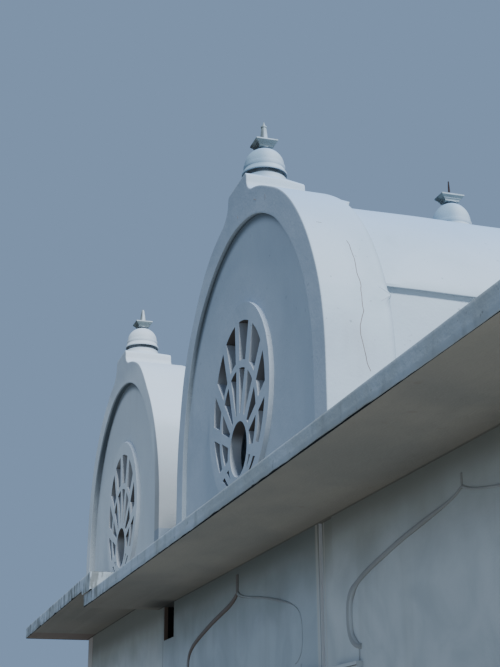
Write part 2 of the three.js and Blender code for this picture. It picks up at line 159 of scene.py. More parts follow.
class Finish(Nodes):
    """A procedural material, built node by node from the place on the object."""

    def __init__(self, name, roughness):
        self.material = bpy.data.materials.new(name)
        self.material.use_nodes = True
        self.tree = self.material.node_tree
        self.shader = self.tree.nodes["Principled BSDF"]
        self.shader.inputs["Roughness"].default_value = roughness
        self.shader.inputs["Specular IOR Level"].default_value = 0.2
        self.place = self.node("ShaderNodeTexCoord", {}, "Object")
        parts = self.node("ShaderNodeSeparateXYZ", {0: self.place}, None)
        self.x, self.y, self.z = parts.outputs
        normal = self.node("ShaderNodeNewGeometry", {}, "Normal")
        facing = self.node("ShaderNodeSeparateXYZ", {0: normal}, None)
        self.facing_x, self.facing_y, self.facing_z = facing.outputs

    def times(self, first, *others):
        for other in others:
            first = self.math("MULTIPLY", first, other)
        return first

    def noise(self, scale, detail=3.0, stretch=(1, 1, 1), distortion=0.0):
        place = self.node("ShaderNodeMapping", {"Vector": self.place, "Scale": stretch})
        inputs = {"Vector": place, "Scale": scale, "Detail": detail, "Distortion": distortion}
        return self.node("ShaderNodeTexNoise", inputs, "Fac")

    def between(self, value, low, high, start=0.0, end=1.0):
        inputs = {"Value": value, "From Min": low, "From Max": high, "To Min": start, "To Max": end}
        return self.node("ShaderNodeMapRange", inputs, "Result", interpolation_type="SMOOTHSTEP")

    def blend(self, factor, a, b, mode="MIX"):
        inputs = {0: factor, 6: a, 7: b}
        return self.node("ShaderNodeMix", inputs, 2, data_type="RGBA", blend_type=mode)

    def bump(self, height, distance, strength=1.0, under=None):
        inputs = {"Height": height, "Distance": distance, "Strength": strength}
        if under is not None:
            inputs["Normal"] = under
        return self.node("ShaderNodeBump", inputs)

    def set(self, colour, normal=None):
        self.tree.links.new(colour, self.shader.inputs["Base Color"])
        if normal is not None:
            self.tree.links.new(normal, self.shader.inputs["Normal"])
        return self.material

def mottled(name, roughness, one, other, scale):
    """A simple finish: two colours, mixed by a noise."""
    finish = Finish(name, roughness)
    return finish.set(finish.blend(finish.noise(scale, 4), one, other))

print("finish helper ready")

# %% [markdown]
# Real plaster gets its look in layers: first the paint, then dust, damp and soot in certain
# places. This second class works in the same way. It keeps the colour so far, and each call
# of paint lays one more tint over it, as strongly as the product of the masks given. The
# masks are made from the place and the normal, so that dirt lies where weather leaves it,
# and painted shade and light lie where light would make them.

# %% Layers of dirt and painted light
class Layers(Finish):
    """A finish whose colour is laid on in layers."""

    def start(self, clean, cloudy, clouds):
        self.colour = self.blend(clouds, clean, cloudy)

    def paint(self, tint, *masks, mode="MIX"):
        self.colour = self.blend(self.times(*masks), self.colour, tint, mode)

    def from_middle(self):
        """Distance from the middle of the building's depth, so that front and rear are alike."""
        return self.math("ABSOLUTE", self.math("SUBTRACT", self.y, depth_middle))

    def from_axis(self, x):
        return self.math("ABSOLUTE", self.math("SUBTRACT", self.x, x))

    def sideways(self, low, high):
        """Mask of the surfaces whose normal has a share across the front between the limits."""
        return self.between(self.math("ABSOLUTE", self.facing_y), low, high)

    def from_arch(self, height):
        """Distance from the nearer gable's axis at a height above the slab, in the gables' plane."""
        up = self.math("SUBTRACT", self.z, roof_top + height)
        nearest = None
        for axis in vault_axes:
            aside = self.math("SUBTRACT", self.x, axis)
            distance = self.math("SQRT", self.math("ADD", self.times(aside, aside), self.times(up, up)))
            nearest = distance if nearest is None else self.math("MINIMUM", nearest, distance)
        return nearest

    def finish(self, wave, wave_depth, wave_strength, grain, detail, grain_depth, grain_strength):
        """Closes the material with soft trowel waves and a fine grain over them."""
        waves = self.bump(self.noise(wave, 3), wave_depth, wave_strength)
        fine = self.bump(self.noise(grain, detail), grain_depth, grain_strength, waves)
        return self.set(self.colour, fine)

print("layers ready")

# %% [markdown]
# The vaults and gables carry white lime plaster. Its paint is cloudy, rain has drawn faint
# grey streaks down it, algae collect on flat tops, and the lowest strip above the roof slab
# is splashed grey. What faces the sky gets a painted blue sky reflection, and the far gable
# is whiter and warmer.

# %% Weather and painted sky reflection on the lime plaster
LIME_WHITE = (0.64, 0.715, 0.775, 1)
LIME_CLOUD = (0.56, 0.63, 0.69, 1)
STREAK_GREY = (0.42, 0.43, 0.43, 1)
ALGAE_GREY = (0.17, 0.17, 0.155, 1)
SKY_REFLECTION_BLUE = (0.42, 0.57, 0.77, 1)
FAR_WARM = (0.80, 0.79, 0.765, 1)
SPLASH_FOOT = 0.05     # the splashed strip above the roof slab, and how far it wavers
SPLASH_HEIGHT = 0.42

def weather_and_sky_reflection(lime):
    clouds = lime.between(lime.noise(0.7, 5, distortion=0.6), 0.35, 0.68)
    lime.start(LIME_WHITE, LIME_CLOUD, clouds)
    streaks = lime.between(lime.noise(2.4, 4, (1, 1, 0.07)), 0.52, 0.74)
    upright = lime.between(lime.math("ABSOLUTE", lime.facing_z), 0.95, 0.3)
    patchy = lime.between(lime.noise(0.9, 2), 0.4, 0.62)
    lime.paint(STREAK_GREY, streaks, upright, patchy, 0.42)
    flat_tops = lime.between(lime.facing_z, 0.8, 0.98)
    lime.paint(ALGAE_GREY, flat_tops, lime.between(lime.noise(2.2, 6), 0.4, 0.62), 0.62)
    wavering = lime.times(lime.noise(2.5, 5, (1, 1, 0.4)), SPLASH_HEIGHT)
    splash_line = lime.math("ADD", roof_top + SPLASH_FOOT, wavering)
    lime.paint(STREAK_GREY, lime.between(lime.math("SUBTRACT", splash_line, lime.z), 0.0, 0.25), 0.45)
    specks = lime.between(lime.noise(16, 2), 0.70, 0.76)
    lime.paint(ALGAE_GREY, specks, 0.35)
    # painted sky reflection: what faces up is tinted blue and a little darker
    lime.paint(SKY_REFLECTION_BLUE, lime.between(lime.facing_z, 0.3, 0.9), 0.85)
    lime.paint(FAR_WARM, lime.between(lime.x, 0.0, -1.5), 0.5)

print("weather ready, splashed up to", round(roof_top + SPLASH_FOOT + SPLASH_HEIGHT, 2), "m")

# %% [markdown]
# The front hardly sees the sun here, so its shade is painted in as a bluish tint on what
# faces the front, darker near the arches' crowns. It is weaker on the far gable and stronger
# on the bells. The numbers for each kind of piece are the Y of the normals where the painted
# shade starts and where it is full, and how strong it is there.

# %% Painted shade on the front
SHADE_BLUE = (0.34, 0.385, 0.45, 1)
BELL_SHADE_BLUE = (0.22, 0.32, 0.40, 1)
CROWN_SHADE = (0.21, 0.26, 0.34, 1)
FRONT_SHADES = {"finial": (0.2, -0.6, 1.5), "block": (0.6, -0.6, 1.0)}
PLAIN_FRONT_SHADE = (0.2, -0.7, 1.0)

def front_shade_paint(lime, kind):
    start, full, thickness = FRONT_SHADES.get(kind, PLAIN_FRONT_SHADE)
    # painted shade: what faces the front is tinted darker and bluer
    shaded = lime.between(lime.facing_y, start, full, 0.0, thickness)
    near = lime.between(lime.between(lime.x, 0.0, -1.5), 0.0, 1.0, 0.55, 0.1)
    lime.paint(BELL_SHADE_BLUE if kind == "finial" else SHADE_BLUE, shaded, near)
    if kind == "arch":
        # painted shade: darker still on the front near the arches' crowns
        crown = lime.between(lime.z, roof_top + 3.3, roof_top + 3.75, 0.0, 0.28)
        lime.paint(CROWN_SHADE, shaded, crown)

print("kinds with a film of their own:", *FRONT_SHADES)

# %% [markdown]
# On an arch, the reveal around its panel is darkened with grime and painted shade, and
# painted shade makes it almost black where it faces down. A beige painted highlight runs
# along its front arris. In the valley between the two gables the plaster is greyed with
# painted shade, more towards the roof, and the foot there is a grey upstand with a rough
# upper line.

# %% Dirt and painted shade on the arches
PANEL_RIM = 2.62         # where the panels meet their arches, from the arch's centre
REVEAL_GRIME_AND_SHADE = (0.21, 0.225, 0.235, 1)
CREVICE_SHADE_AND_GRIME = (0.075, 0.095, 0.110, 1)
ARRIS_HIGHLIGHT_BEIGE = (0.58, 0.53, 0.44, 1)
VALLEY_SHADE_GREY = (0.385, 0.38, 0.37, 1)
FOOT_GREY = (0.27, 0.31, 0.36, 1)
ARCH_FACE = abs(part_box("front_portal_arch_2")[0].y - depth_middle)    # from the middle of the depth
VALLEY_LEFT, VALLEY_RIGHT = -1.1, 0.3
UPSTAND = 0.40           # height of the grey foot in the valley

def arch_dirt_and_shade(lime):
    reveal = lime.between(lime.from_arch(SPRINGING), PANEL_RIM + 0.10, PANEL_RIM + 0.07)
    reveal = lime.times(reveal, lime.sideways(0.7, 0.35))
    # grime and painted shade on the reveal round the panel
    lime.paint(REVEAL_GRIME_AND_SHADE, reveal, 0.7)
    deep = lime.between(lime.from_middle(), ARCH_FACE - 0.012, ARCH_FACE - 0.045)
    # painted shade: the reveal's downward faces go almost black
    lime.paint(CREVICE_SHADE_AND_GRIME, lime.between(lime.facing_z, -0.35, -0.8), deep, reveal, 0.92)
    # painted highlight: a beige line on the rounded front arris
    arris = lime.between(lime.facing_y, -0.96, -0.88)
    lime.paint(ARRIS_HIGHLIGHT_BEIGE, arris, lime.between(lime.facing_y, -0.30, -0.45), 0.6)
    valley = lime.between(lime.x, VALLEY_LEFT - 0.1, VALLEY_LEFT + 0.1)
    valley = lime.times(valley, lime.between(lime.x, VALLEY_RIGHT + 0.05, VALLEY_RIGHT - 0.05))
    foot_line = lime.math("ADD", roof_top + UPSTAND, lime.times(lime.noise(3, 4), 0.05))
    foot = lime.between(lime.math("SUBTRACT", foot_line, lime.z), -0.004, 0.010)
    # painted shade: the valley between the gables is greyed, most near the roof
    lime.paint(VALLEY_SHADE_GREY, valley, lime.between(lime.z, roof_top + 0.8, roof_top + 2.2, 0.95, 0.40))
    lime.paint(FOOT_GREY, foot, valley, 0.85)

print("arch face", round(ARCH_FACE, 3), "m from the middle of the depth")

# %% [markdown]
# On a panel, grime and painted shade darken the rim under the arch. The sides of the
# rosette's openings carry a pinkish grey of dust and painted shade, and painted shade makes
# their undersides almost black. A circle round the rosette tells the openings from the rest
# of the panel.

# %% Dirt and painted shade on the panels
OPENING_DUST_AND_SHADE = (0.40, 0.375, 0.37, 1)
OPENING_UNDERSIDE_SHADE = (0.075, 0.058, 0.050, 1)
ROSETTE_CENTRE = 1.16    # height above the slab, between those of the two rosettes
ROSETTE_RADIUS = 1.08    # just beyond the openings

def panel_dirt_and_shade(lime):
    rim = lime.between(lime.from_arch(SPRINGING), PANEL_RIM - 0.16, PANEL_RIM - 0.01)
    high = lime.between(lime.z, roof_top + 1.6, roof_top + 2.9)
    # grime and painted shade on the panel's rim under the arch
    lime.paint(CREVICE_SHADE_AND_GRIME, rim, rim, high, 0.8)
    inside = lime.between(lime.from_arch(ROSETTE_CENTRE), ROSETTE_RADIUS + 0.02, ROSETTE_RADIUS)
    # dust and painted shade on the sides of the openings
    lime.paint(OPENING_DUST_AND_SHADE, lime.sideways(0.7, 0.35), lime.between(inside, 0.0, 1.0, 0.45, 0.65))
    # painted shade: the openings' undersides go almost black
    lime.paint(OPENING_UNDERSIDE_SHADE, lime.between(lime.facing_z, -0.35, -0.8), inside, 0.92)

print("dust within", ROSETTE_RADIUS, "m of the rosettes' middles")

# %% [markdown]
# Painted shade darkens what faces down on the feet and bells, and the neck under each bell is
# painted almost black. The stepped blocks on top carry painted shade on their undersides,
# algae in grey-green patches, and black patches of soot and painted shade where they face the
# front.

# %% Dirt and painted shade on the finials
GROOVE_GREY = (0.080, 0.085, 0.085, 1)
STEP_UNDERSIDE_SHADE = (0.20, 0.225, 0.195, 1)
SOOT_AND_SHADE_BLACK = (0.035, 0.037, 0.035, 1)
ALGAE_GREEN = (0.36, 0.40, 0.37, 1)

def finial_underside_shade(lime):
    # painted shade on what faces down on the feet and bells
    lime.paint(GROOVE_GREY, lime.between(lime.facing_z, -0.35, -0.8), 0.85)

def neck_darkening(lime):
    # the whole neck is painted almost black, in mottled patches
    lime.paint(GROOVE_GREY, lime.between(lime.noise(6, 4), 0.35, 0.65, 0.85, 0.97))

def block_dirt_and_shade(lime):
    # painted shade on the undersides of the steps
    lime.paint(STEP_UNDERSIDE_SHADE, lime.between(lime.facing_z, -0.15, -0.45), 0.8)
    patches = lime.between(lime.noise(7, 5), 0.25, 0.42)
    # soot and painted shade in black patches on the faces towards the front
    lime.paint(SOOT_AND_SHADE_BLACK, lime.between(lime.facing_y, -0.2, -0.5), patches, 0.85)
    lime.paint(ALGAE_GREEN, lime.between(lime.noise(5, 4), 0.40, 0.60), 0.4)

print("dirt ready for bells, necks and blocks")

# %% [markdown]
# Six kinds of lime plaster come out of these layers: one function calls them in turn, and
# is told which dirt and painted shade come last. The grain and the soft trowel waves are
# bumps of a few millimetres, which catch the light without adding any faces.

# %% Kinds of lime plaster
def no_dirt(lime):
    """A vault has no dirt of its own beyond the weather."""

def lime_plaster(name, kind, dirt):
    lime = Layers(name, roughness=0.88)
    weather_and_sky_reflection(lime)
    front_shade_paint(lime, kind)
    dirt(lime)
    return lime.finish(1.6, 0.025, 0.7, 30, 6, 0.004, 0.6)

vault_lime = lime_plaster("lime_plaster", "vault", no_dirt)
arch_lime = lime_plaster("arch_lime_plaster", "arch", arch_dirt_and_shade)
panel_lime = lime_plaster("panel_lime_plaster", "panel", panel_dirt_and_shade)
finial_lime = lime_plaster("finial_lime_plaster", "finial", finial_underside_shade)
neck_lime = lime_plaster("neck_lime_plaster", "neck", neck_darkening)
soot_and_shade_lime = lime_plaster("soot_and_shade_lime_plaster", "block", block_dirt_and_shade)
print("lime plaster ready")

# %% [markdown]
# The walls under the eaves have a smoother grey-white paint. Just under the soffit it darkens
# to a smoky olive of smoke and painted shade, darkest in the corner, and lower down it shows
# wide pale clouds. The bay on the left is bluer. Faint runs come down all over it, and damp
# climbs from the ground.

# %% Weather and painted shade on the walls
WALL_PALE = (0.66, 0.68, 0.675, 1)
WALL_CLOUD = (0.55, 0.575, 0.575, 1)
SMOKE_AND_SHADE = (0.28, 0.27, 0.225, 1)
CORNER_SHADE_OLIVE = (0.05, 0.05, 0.038, 1)
BAY_BLUE = (0.77, 0.825, 0.88, 1)
hall_left = slab_low.x
LEFT_BAY_END = 3.02

def weathered_and_shaded_wall(wall):
    clouds = wall.between(wall.noise(1.1, 5, distortion=0.8), 0.34, 0.7)
    wall.start(WALL_PALE, WALL_CLOUD, clouds)
    runs = wall.between(wall.noise(3.2, 3, (1, 1, 0.06)), 0.5, 0.72)
    wall.paint(SMOKE_AND_SHADE, runs, 0.12)
    below = wall.math("SUBTRACT", soffit, wall.z)
    wavering = wall.math("SUBTRACT", below, wall.times(wall.noise(1.3, 4), 0.5))
    # smoke and painted shade darken the wall just under the soffit
    wall.paint(SMOKE_AND_SHADE, wall.between(wavering, 0.95, -0.2), 0.93)
    # painted shade in the corner just under the soffit
    wall.paint(CORNER_SHADE_OLIVE, wall.between(below, 0.36, 0.01), 0.4)
    bay_start = wall.between(wall.x, hall_left, hall_left + 0.6)
    bay_end = wall.between(wall.x, LEFT_BAY_END + 0.04, LEFT_BAY_END - 0.04)
    wall.paint(BAY_BLUE, bay_end, bay_start, 0.9, mode="MULTIPLY")
    damp = wall.math("SUBTRACT", wall.times(wall.noise(2.2, 5), 0.7), wall.z)
    wall.paint(STREAK_GREY, wall.between(damp, -0.1, 0.25), 0.5)

print("walls darken up to the soffit at", round(soffit, 3), "m")

# %% [markdown]
# Some marks on the walls follow upright lines: stains along joints between pieces and at the
# wing's corner, and at the edges of the shallow niche a painted highlight on its arrises,
# painted shade in its corner and painted light on its jamb. Each is a strip between two X,
# measured from the left end of the hall's slab, with how strong it is and its tint.

# %% Stains along joints, and painted light at the niche
JOINT_BROWN_AND_EDGE_SHADE = (0.10, 0.075, 0.065, 1)
CORNER_BROWN = (0.13, 0.085, 0.065, 1)
PIER_PINK = (0.62, 0.52, 0.47, 1)
NICHE_ARRIS_HIGHLIGHT = (0.60, 0.54, 0.45, 1)
NICHE_JAMB_LIGHT = (0.74, 0.71, 0.70, 1)
STRIP_SOFTNESS = 0.007
STAIN_AND_LIGHT_STRIPS = [
    (-6.860, -6.315, 0.45, PIER_PINK), (-6.335, -6.275, 0.85, CORNER_BROWN),
    (0.345, 0.365, 0.8, JOINT_BROWN_AND_EDGE_SHADE),
    # at the niche: painted highlights on its arrises, painted shade in its corner, painted light on its
    # jamb
    (8.050, 8.110, 0.28, NICHE_ARRIS_HIGHLIGHT), (8.140, 8.164, 0.6, JOINT_BROWN_AND_EDGE_SHADE),
    (8.172, 8.186, 0.8, NICHE_JAMB_LIGHT), (8.230, 8.262, 0.3, NICHE_ARRIS_HIGHLIGHT),
]

def stains_and_niche_light(wall):
    for start, end, strength, stain in STAIN_AND_LIGHT_STRIPS:
        low, high = hall_left + start, hall_left + end
        left_edge = wall.between(wall.x, low - STRIP_SOFTNESS, low + STRIP_SOFTNESS)
        right_edge = wall.between(wall.x, high + STRIP_SOFTNESS, high - STRIP_SOFTNESS)
        wall.paint(stain, left_edge, right_edge, strength)

print("stains along joints:", len(STAIN_AND_LIGHT_STRIPS))

# %% [markdown]
# The slot window has a brown frame, and behind it painted shade makes the room black. The
# slot is cut in the CAD wall, so paint alone can show both. Only the sides of the slot are
# meant, so the masks ask for normals along X, close to the slot's middle.

# %% Slot window
FRAME_BROWN = (0.15, 0.105, 0.08, 1)
ROOM_SHADE_BLACK = (0.008, 0.008, 0.008, 1)
SLOT_OFFSET = 0.410    # from the left end of its wall piece
slot_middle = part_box("front_slotted_wall")[0].x + SLOT_OFFSET
wall_face = abs(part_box("front_slotted_wall")[0].y - depth_middle)

def slot_frame(wall):
    jamb = wall.between(wall.math("ABSOLUTE", wall.facing_x), 0.5, 0.8)
    jamb = wall.times(jamb, wall.between(wall.from_axis(slot_middle), 0.37, 0.355))
    wall.paint(FRAME_BROWN, jamb)
    deep = wall.between(wall.from_middle(), wall_face - 0.065, wall_face - 0.075)
    # painted shade: deep in the slot the jambs are black, for the dark room
    wall.paint(ROOM_SHADE_BLACK, deep, jamb)

print("slot middle at x", round(slot_middle, 3))

# %% [markdown]
# The relief arches on the walls carry dirt and painted shade along their edges. The far one
# is brown on its left half with smoke and painted shade. The near one is grey along its ridge
# and has clean edges, so most masks here also run along X, from the far arch to the near one.

# %% Dirt and painted shade on the relief arches
MOULDING_SHADE_AND_DIRT = (0.115, 0.080, 0.055, 1)
RELIEF_SMOKE_AND_SHADE = (0.16, 0.125, 0.11, 1)
RIDGE_GREY = (0.26, 0.245, 0.235, 1)
RELIEF_HALF = 2.95
relief_axes = axes_of("relief_arch")

def relief_dirt_and_shade(wall):
    smoke_and_shade_side = None
    for axis in relief_axes:
        left = wall.times(wall.between(wall.x, axis + 0.06, axis),
                          wall.between(wall.x, axis - RELIEF_HALF, axis - RELIEF_HALF + 0.35))
        smoke_and_shade_side = left if smoke_and_shade_side is None else wall.math("MAXIMUM", smoke_and_shade_side, left)
    # smoke and painted shade on the far arch's left half
    wall.paint(RELIEF_SMOKE_AND_SHADE, smoke_and_shade_side, wall.between(wall.x, 0.0, 0.6, 0.88, 0.25))
    # dirt and painted shade along the beads' edges
    wall.paint(MOULDING_SHADE_AND_DIRT, wall.sideways(0.5, 0.2), wall.between(wall.x, 0.0, 0.6, 0.75, 0.12))
    wall.paint(RIDGE_GREY, wall.sideways(0.72, 0.90), wall.between(wall.x, 0.3, 0.6, 0.0, 0.55))

print("relief axes", [round(x, 3) for x in relief_axes])

# %% [markdown]
# The walls and the relief arches share one recipe, and only the last layer differs. The
# wall pieces themselves are the CAD solids, which already have the right shape, so they
# just get the new paint.

# %% Wall plaster
def wall_plaster(name, relief=False):
    wall = Layers(name, roughness=0.86)
    weathered_and_shaded_wall(wall)
    # painted shade on what faces down: the undersides of beads and capitals
    underside = wall.between(wall.facing_z, -0.2, -0.75)
    strength = wall.between(wall.x, 0.0, 0.6, 0.85, 0.25) if relief else 0.85
    wall.paint(MOULDING_SHADE_AND_DIRT, underside, strength)
    stains_and_niche_light(wall)
    slot_frame(wall)
    if relief:
        relief_dirt_and_shade(wall)
    return wall.finish(1.2, 0.02, 0.6, 35, 5, 0.003, 0.5)

def repaint(name, finish):
    nodes[name].data.materials.clear()
    nodes[name].data.materials.append(finish)

wall_paint = wall_plaster("wall_plaster")
relief_paint = wall_plaster("relief_plaster", relief=True)
walls = [name for name in nodes if "wall" in name]
for name in walls:
    repaint(name, wall_paint)
print("walls finished:", len(walls))

# %% [markdown]
# The roof slabs are cement render on concrete. The soffit is a stained olive grey, darker
# towards the far end, with painted shade next to the walls, red-brown along the wing's end, a
# drip line and soot over the slot window. Where the edge plaster stops short, the edge shows
# black with damp and painted shade.

# %% Slab render
SOFFIT_OLIVE = (0.395, 0.345, 0.28, 1)
SOFFIT_DARK = (0.32, 0.29, 0.245, 1)
SOFFIT_FAR = (0.14, 0.12, 0.095, 1)
SOFFIT_RED_BROWN = (0.17, 0.105, 0.08, 1)
RUST_SPOT = (0.16, 0.07, 0.035, 1)
DECK_GREY = (0.40, 0.39, 0.37, 1)
NEAR_BLACK = (0.012, 0.013, 0.014, 1)
RED_START, RED_FULL = hall_left - 5.78, hall_left - 5.95
DRIP_LINE = hall_left - 6.96

def soffit_stains_and_shade(slab):
    slab.start(SOFFIT_OLIVE, SOFFIT_DARK, slab.between(slab.noise(0.55, 5, distortion=0.5), 0.35, 0.68))
    slab.paint(SOFFIT_FAR, slab.between(slab.x, 0.5, -4.5), 0.58)
    slab.paint(RUST_SPOT, slab.between(slab.noise(4.5, 4), 0.68, 0.76), 0.14)
    slab.paint(SOFFIT_DARK, slab.between(slab.noise(1.0, 1, (0.12, 4.5, 1)), 0.45, 0.6), 0.16)
    from_middle = slab.from_middle()
    # painted shade on the soffit next to the walls
    slab.paint(SOFFIT_FAR, slab.between(from_middle, wall_face + 0.55, wall_face + 0.02), 0.3)
    # red-brown along the wing's end
    slab.paint(SOFFIT_RED_BROWN, slab.between(slab.x, RED_START, RED_FULL), 0.55)
    slab.paint(NEAR_BLACK, slab.between(slab.x, DRIP_LINE + 0.01, DRIP_LINE - 0.01), 0.8)
    # painted shade: a dark line in the corner with the wall
    slab.paint(NEAR_BLACK, slab.between(from_middle, wall_face + 0.045, wall_face + 0.02), 0.4)
    over_slot = slab.between(slab.from_axis(slot_middle), 0.75, 0.25)
    slab.paint(NEAR_BLACK, slab.between(from_middle, wall_face + 0.55, wall_face + 0.05), over_slot, 0.6)

def slab_render():
    slab = Layers("slab_render", roughness=0.95)
    soffit_stains_and_shade(slab)
    algae = slab.between(slab.noise(1.4, 6), 0.35, 0.75, 0.0, 0.55)
    deck = slab.blend(algae, DECK_GREY, ALGAE_GREY)
    slab.paint(deck, slab.between(slab.facing_z, -0.4, 0.4))
    # damp and painted shade make the slab's upright edges black
    slab.paint(NEAR_BLACK, slab.between(slab.math("ABSOLUTE", slab.facing_z), 0.6, 0.3))
    rough = slab.bump(slab.noise(2.5, 4), 0.03, 0.6)
    return slab.set(slab.colour, slab.bump(slab.noise(40, 5), 0.004, 0.7, rough))

slab_finish = slab_render()
for name in ("hall_roof_slab", "wing_roof_slab"):
    repaint(name, slab_finish)
print("slabs finished")

# %% [markdown]
# The floor is plain steel-trowelled concrete, worn lighter in patches. It stays the CAD
# slab, and one noise that mixes two greys is enough for a surface that is hardly seen.

# %% Floor concrete
CONCRETE_DARK = (0.30, 0.29, 0.27, 1)
CONCRETE_WORN = (0.42, 0.41, 0.38, 1)

def floor_concrete():
    finish = Finish("floor_concrete", roughness=0.8)
    worn = finish.between(finish.noise(0.8, 6), 0.35, 0.65)
    colour = finish.blend(worn, CONCRETE_DARK, CONCRETE_WORN)
    return finish.set(colour, finish.bump(finish.noise(25, 5), 0.003, 0.5))

repaint("floor", floor_concrete())
print("floor finished")

# %% [markdown]
# Two helpers turn points into pieces. A loft joins rings of points, as a boat builder
# joins ribs with planks, and closes both ends. Hand plasterwork is never quite flat, so
# every point may also be pushed by a few millimetres of smooth noise. The noise starts
# from a fixed seed, so that every run gives the same plaster.

# %% Helpers for pieces
PLASTER_SEED = 11
noise.seed_set(PLASTER_SEED)

def uneven(point, amount, size=0.9):
    """The point, pushed along a smooth noise field by up to the given amount."""
    return Vector(point) + noise.noise_vector(Vector(point) / size) * amount

def keep_piece(piece, finish, slot, stands_for=(), sharp=32):
    """Gives a finished piece its shading, finish and body, and hides what it stands for; the slot is not
    used.
    """
    mesh = piece.data
    shape = bmesh.new()
    shape.from_mesh(mesh)
    bmesh.ops.recalc_face_normals(shape, faces=shape.faces)
    shape.to_mesh(mesh)
    shape.free()
    mesh.shade_smooth()
    mesh.set_sharp_from_angle(angle=math.radians(sharp))
    mesh.materials.clear()
    mesh.materials.append(finish)
    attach(piece, "root")
    if stands_for:
        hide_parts(*stands_for)
    return piece

def piece_from(name, points, faces, **keep):
    mesh = bpy.data.meshes.new(name)
    mesh.from_pydata([tuple(point) for point in points], [], faces)
    return keep_piece(add(name, mesh), **keep)

def loft(name, rings, **keep):
    """A skin over rings of points, with flat ends."""
    count, last = len(rings[0]), (len(rings) - 1) * len(rings[0])
    faces = []
    for here in range(0, last, count):
        for j in range(count):
            k = (j + 1) % count
            faces.append((here + j, here + k, here + count + k, here + count + j))
    faces.append(tuple(range(count))[::-1])
    faces.append(tuple(range(last, last + count)))
    return piece_from(name, [point for ring in rings for point in ring], faces, **keep)

def steps(start, end, count):
    """Evenly spaced numbers from start to end, both included."""
    return [start + (end - start) * i / (count - 1) for i in range(count)]

def along(table, place):
    """A value read from rows of (place, value), with a smooth passage between them."""
    for (start, low), (end, high) in zip(table, table[1:]):
        if place < end:
            t = max(0.0, (place - start) / (end - start))
            return low + (high - low) * t * t * (3 - 2 * t)
    return table[-1][1]

print("piece helpers ready")

# %% [markdown]
# The edge of each roof slab wears a coat of plaster about a centimetre thick. Its lower
# edge is ragged: drips hang in some places and chips are broken out in others, and the
# concrete behind it shows as a black line of damp and painted shade. Towards the far end its
# paint is rough and dark. The coat is a loft of small sections, and the wing's slab slopes a
# little.

# %% Plaster coat on the slab edges
COAT = 0.010
COAT_ROUND = 0.012
COAT_BACK = -0.004    # how far the coat reaches into the slab
COAT_STEP = 0.06
COAT_FEET = ((-12, 0.014), (0, 0.016), (4.0, 0.022), (7.6, 0.020), (9.5, 0.003))   # x, and metres up
CHIP_SHIFT = Vector((0, 43, 0))    # where in the noise field the chips are read
COAT_BLUE = (0.49, 0.545, 0.60, 1)
COAT_GREY = (0.42, 0.45, 0.46, 1)
COAT_DIRT = (0.25, 0.26, 0.25, 1)
WING_SLAB = 0.243
LAP = 0.02            # how deep the wing's coat dips behind the hall's top
wing_fall = wing_high.z - WING_SLAB - wing_low.z

def coat_finish():
    coat = Layers("edge_coat", roughness=0.9)
    coat.start(COAT_BLUE, COAT_GREY, coat.between(coat.noise(1.3, 6, distortion=0.7), 0.36, 0.66))
    coat.paint(COAT_DIRT, coat.between(coat.noise(5, 4, (1, 1, 0.25)), 0.54, 0.70), 0.4)
    coat.paint(ALGAE_GREY, coat.between(coat.noise(13, 3), 0.66, 0.74), 0.6)
    rough = coat.between(coat.noise(9, 6, (1, 1, 0.3)), 0.50, 0.60)
    coat.paint(ALGAE_GREY, rough, coat.between(coat.x, -2.2, -4.4), 0.8)
    # a darker band between x 2 and 3.6
    coat.paint(COAT_DIRT, coat.between(coat.x, 2.0, 3.6), 0.22)
    return coat.set(coat.colour, coat.bump(coat.noise(18, 5), 0.006, 0.8))

edge_paint = coat_finish()

def hall_heights(x):
    """Underside and top of the hall's slab at its edge."""
    return soffit, roof_top

def wing_heights(x):
    """The same for the wing, whose slab slopes and laps over the hall's."""
    under = wing_low.z + wing_fall * (x - wing_low.x) / (wing_high.x - wing_low.x)
    return roof_top - LAP if x > slab_low.x else under, under + WING_SLAB

def ragged_foot(x, distance, seed):
    """Height of the coat's lower edge above the soffit, with hanging drips and broken chips."""
    place = Vector((distance, seed * 7.3, 0))
    wavering = 0.009 * noise.noise(place * 1.4) + 0.007 * noise.noise(place * 5)
    chip = max(0.0, noise.noise(place * 2.6 + CHIP_SHIFT) - 0.40) * 0.10
    return along(COAT_FEET, x) + wavering + chip

def edge_coat(name, start, end, outward, heights, seed):
    """A coat on one straight slab edge, from start to end in plan, facing outward."""
    length = (end - start).length
    rings = []
    for distance in steps(0, length, int(length / COAT_STEP) + 1):
        at = start.lerp(end, distance / length)
        under, over = heights(at.x)
        bottom, top = under + max(0.004, ragged_foot(at.x, distance, seed)), over - 0.002
        section = [(COAT_BACK, bottom), (COAT, bottom + 0.004), (COAT + 0.003, bottom + COAT_ROUND)]
        section += [(COAT, bottom + (top - bottom) * t) for t in (0.35, 0.6, 0.85)]
        section += [(COAT, top - COAT_ROUND), (COAT - 0.004, top - 0.002), (COAT_BACK, top)]
        ring = []
        for out, z in section:
            wave = 0.003 * noise.noise(Vector((distance * 1.5, seed, z * 2))) if out > 0 else 0
            ring.append((at + outward * (out + wave)).to_3d() + Vector((0, 0, z)))
        rings.append(ring)
    return loft(name, rings, finish=edge_paint, slot="slab_render")

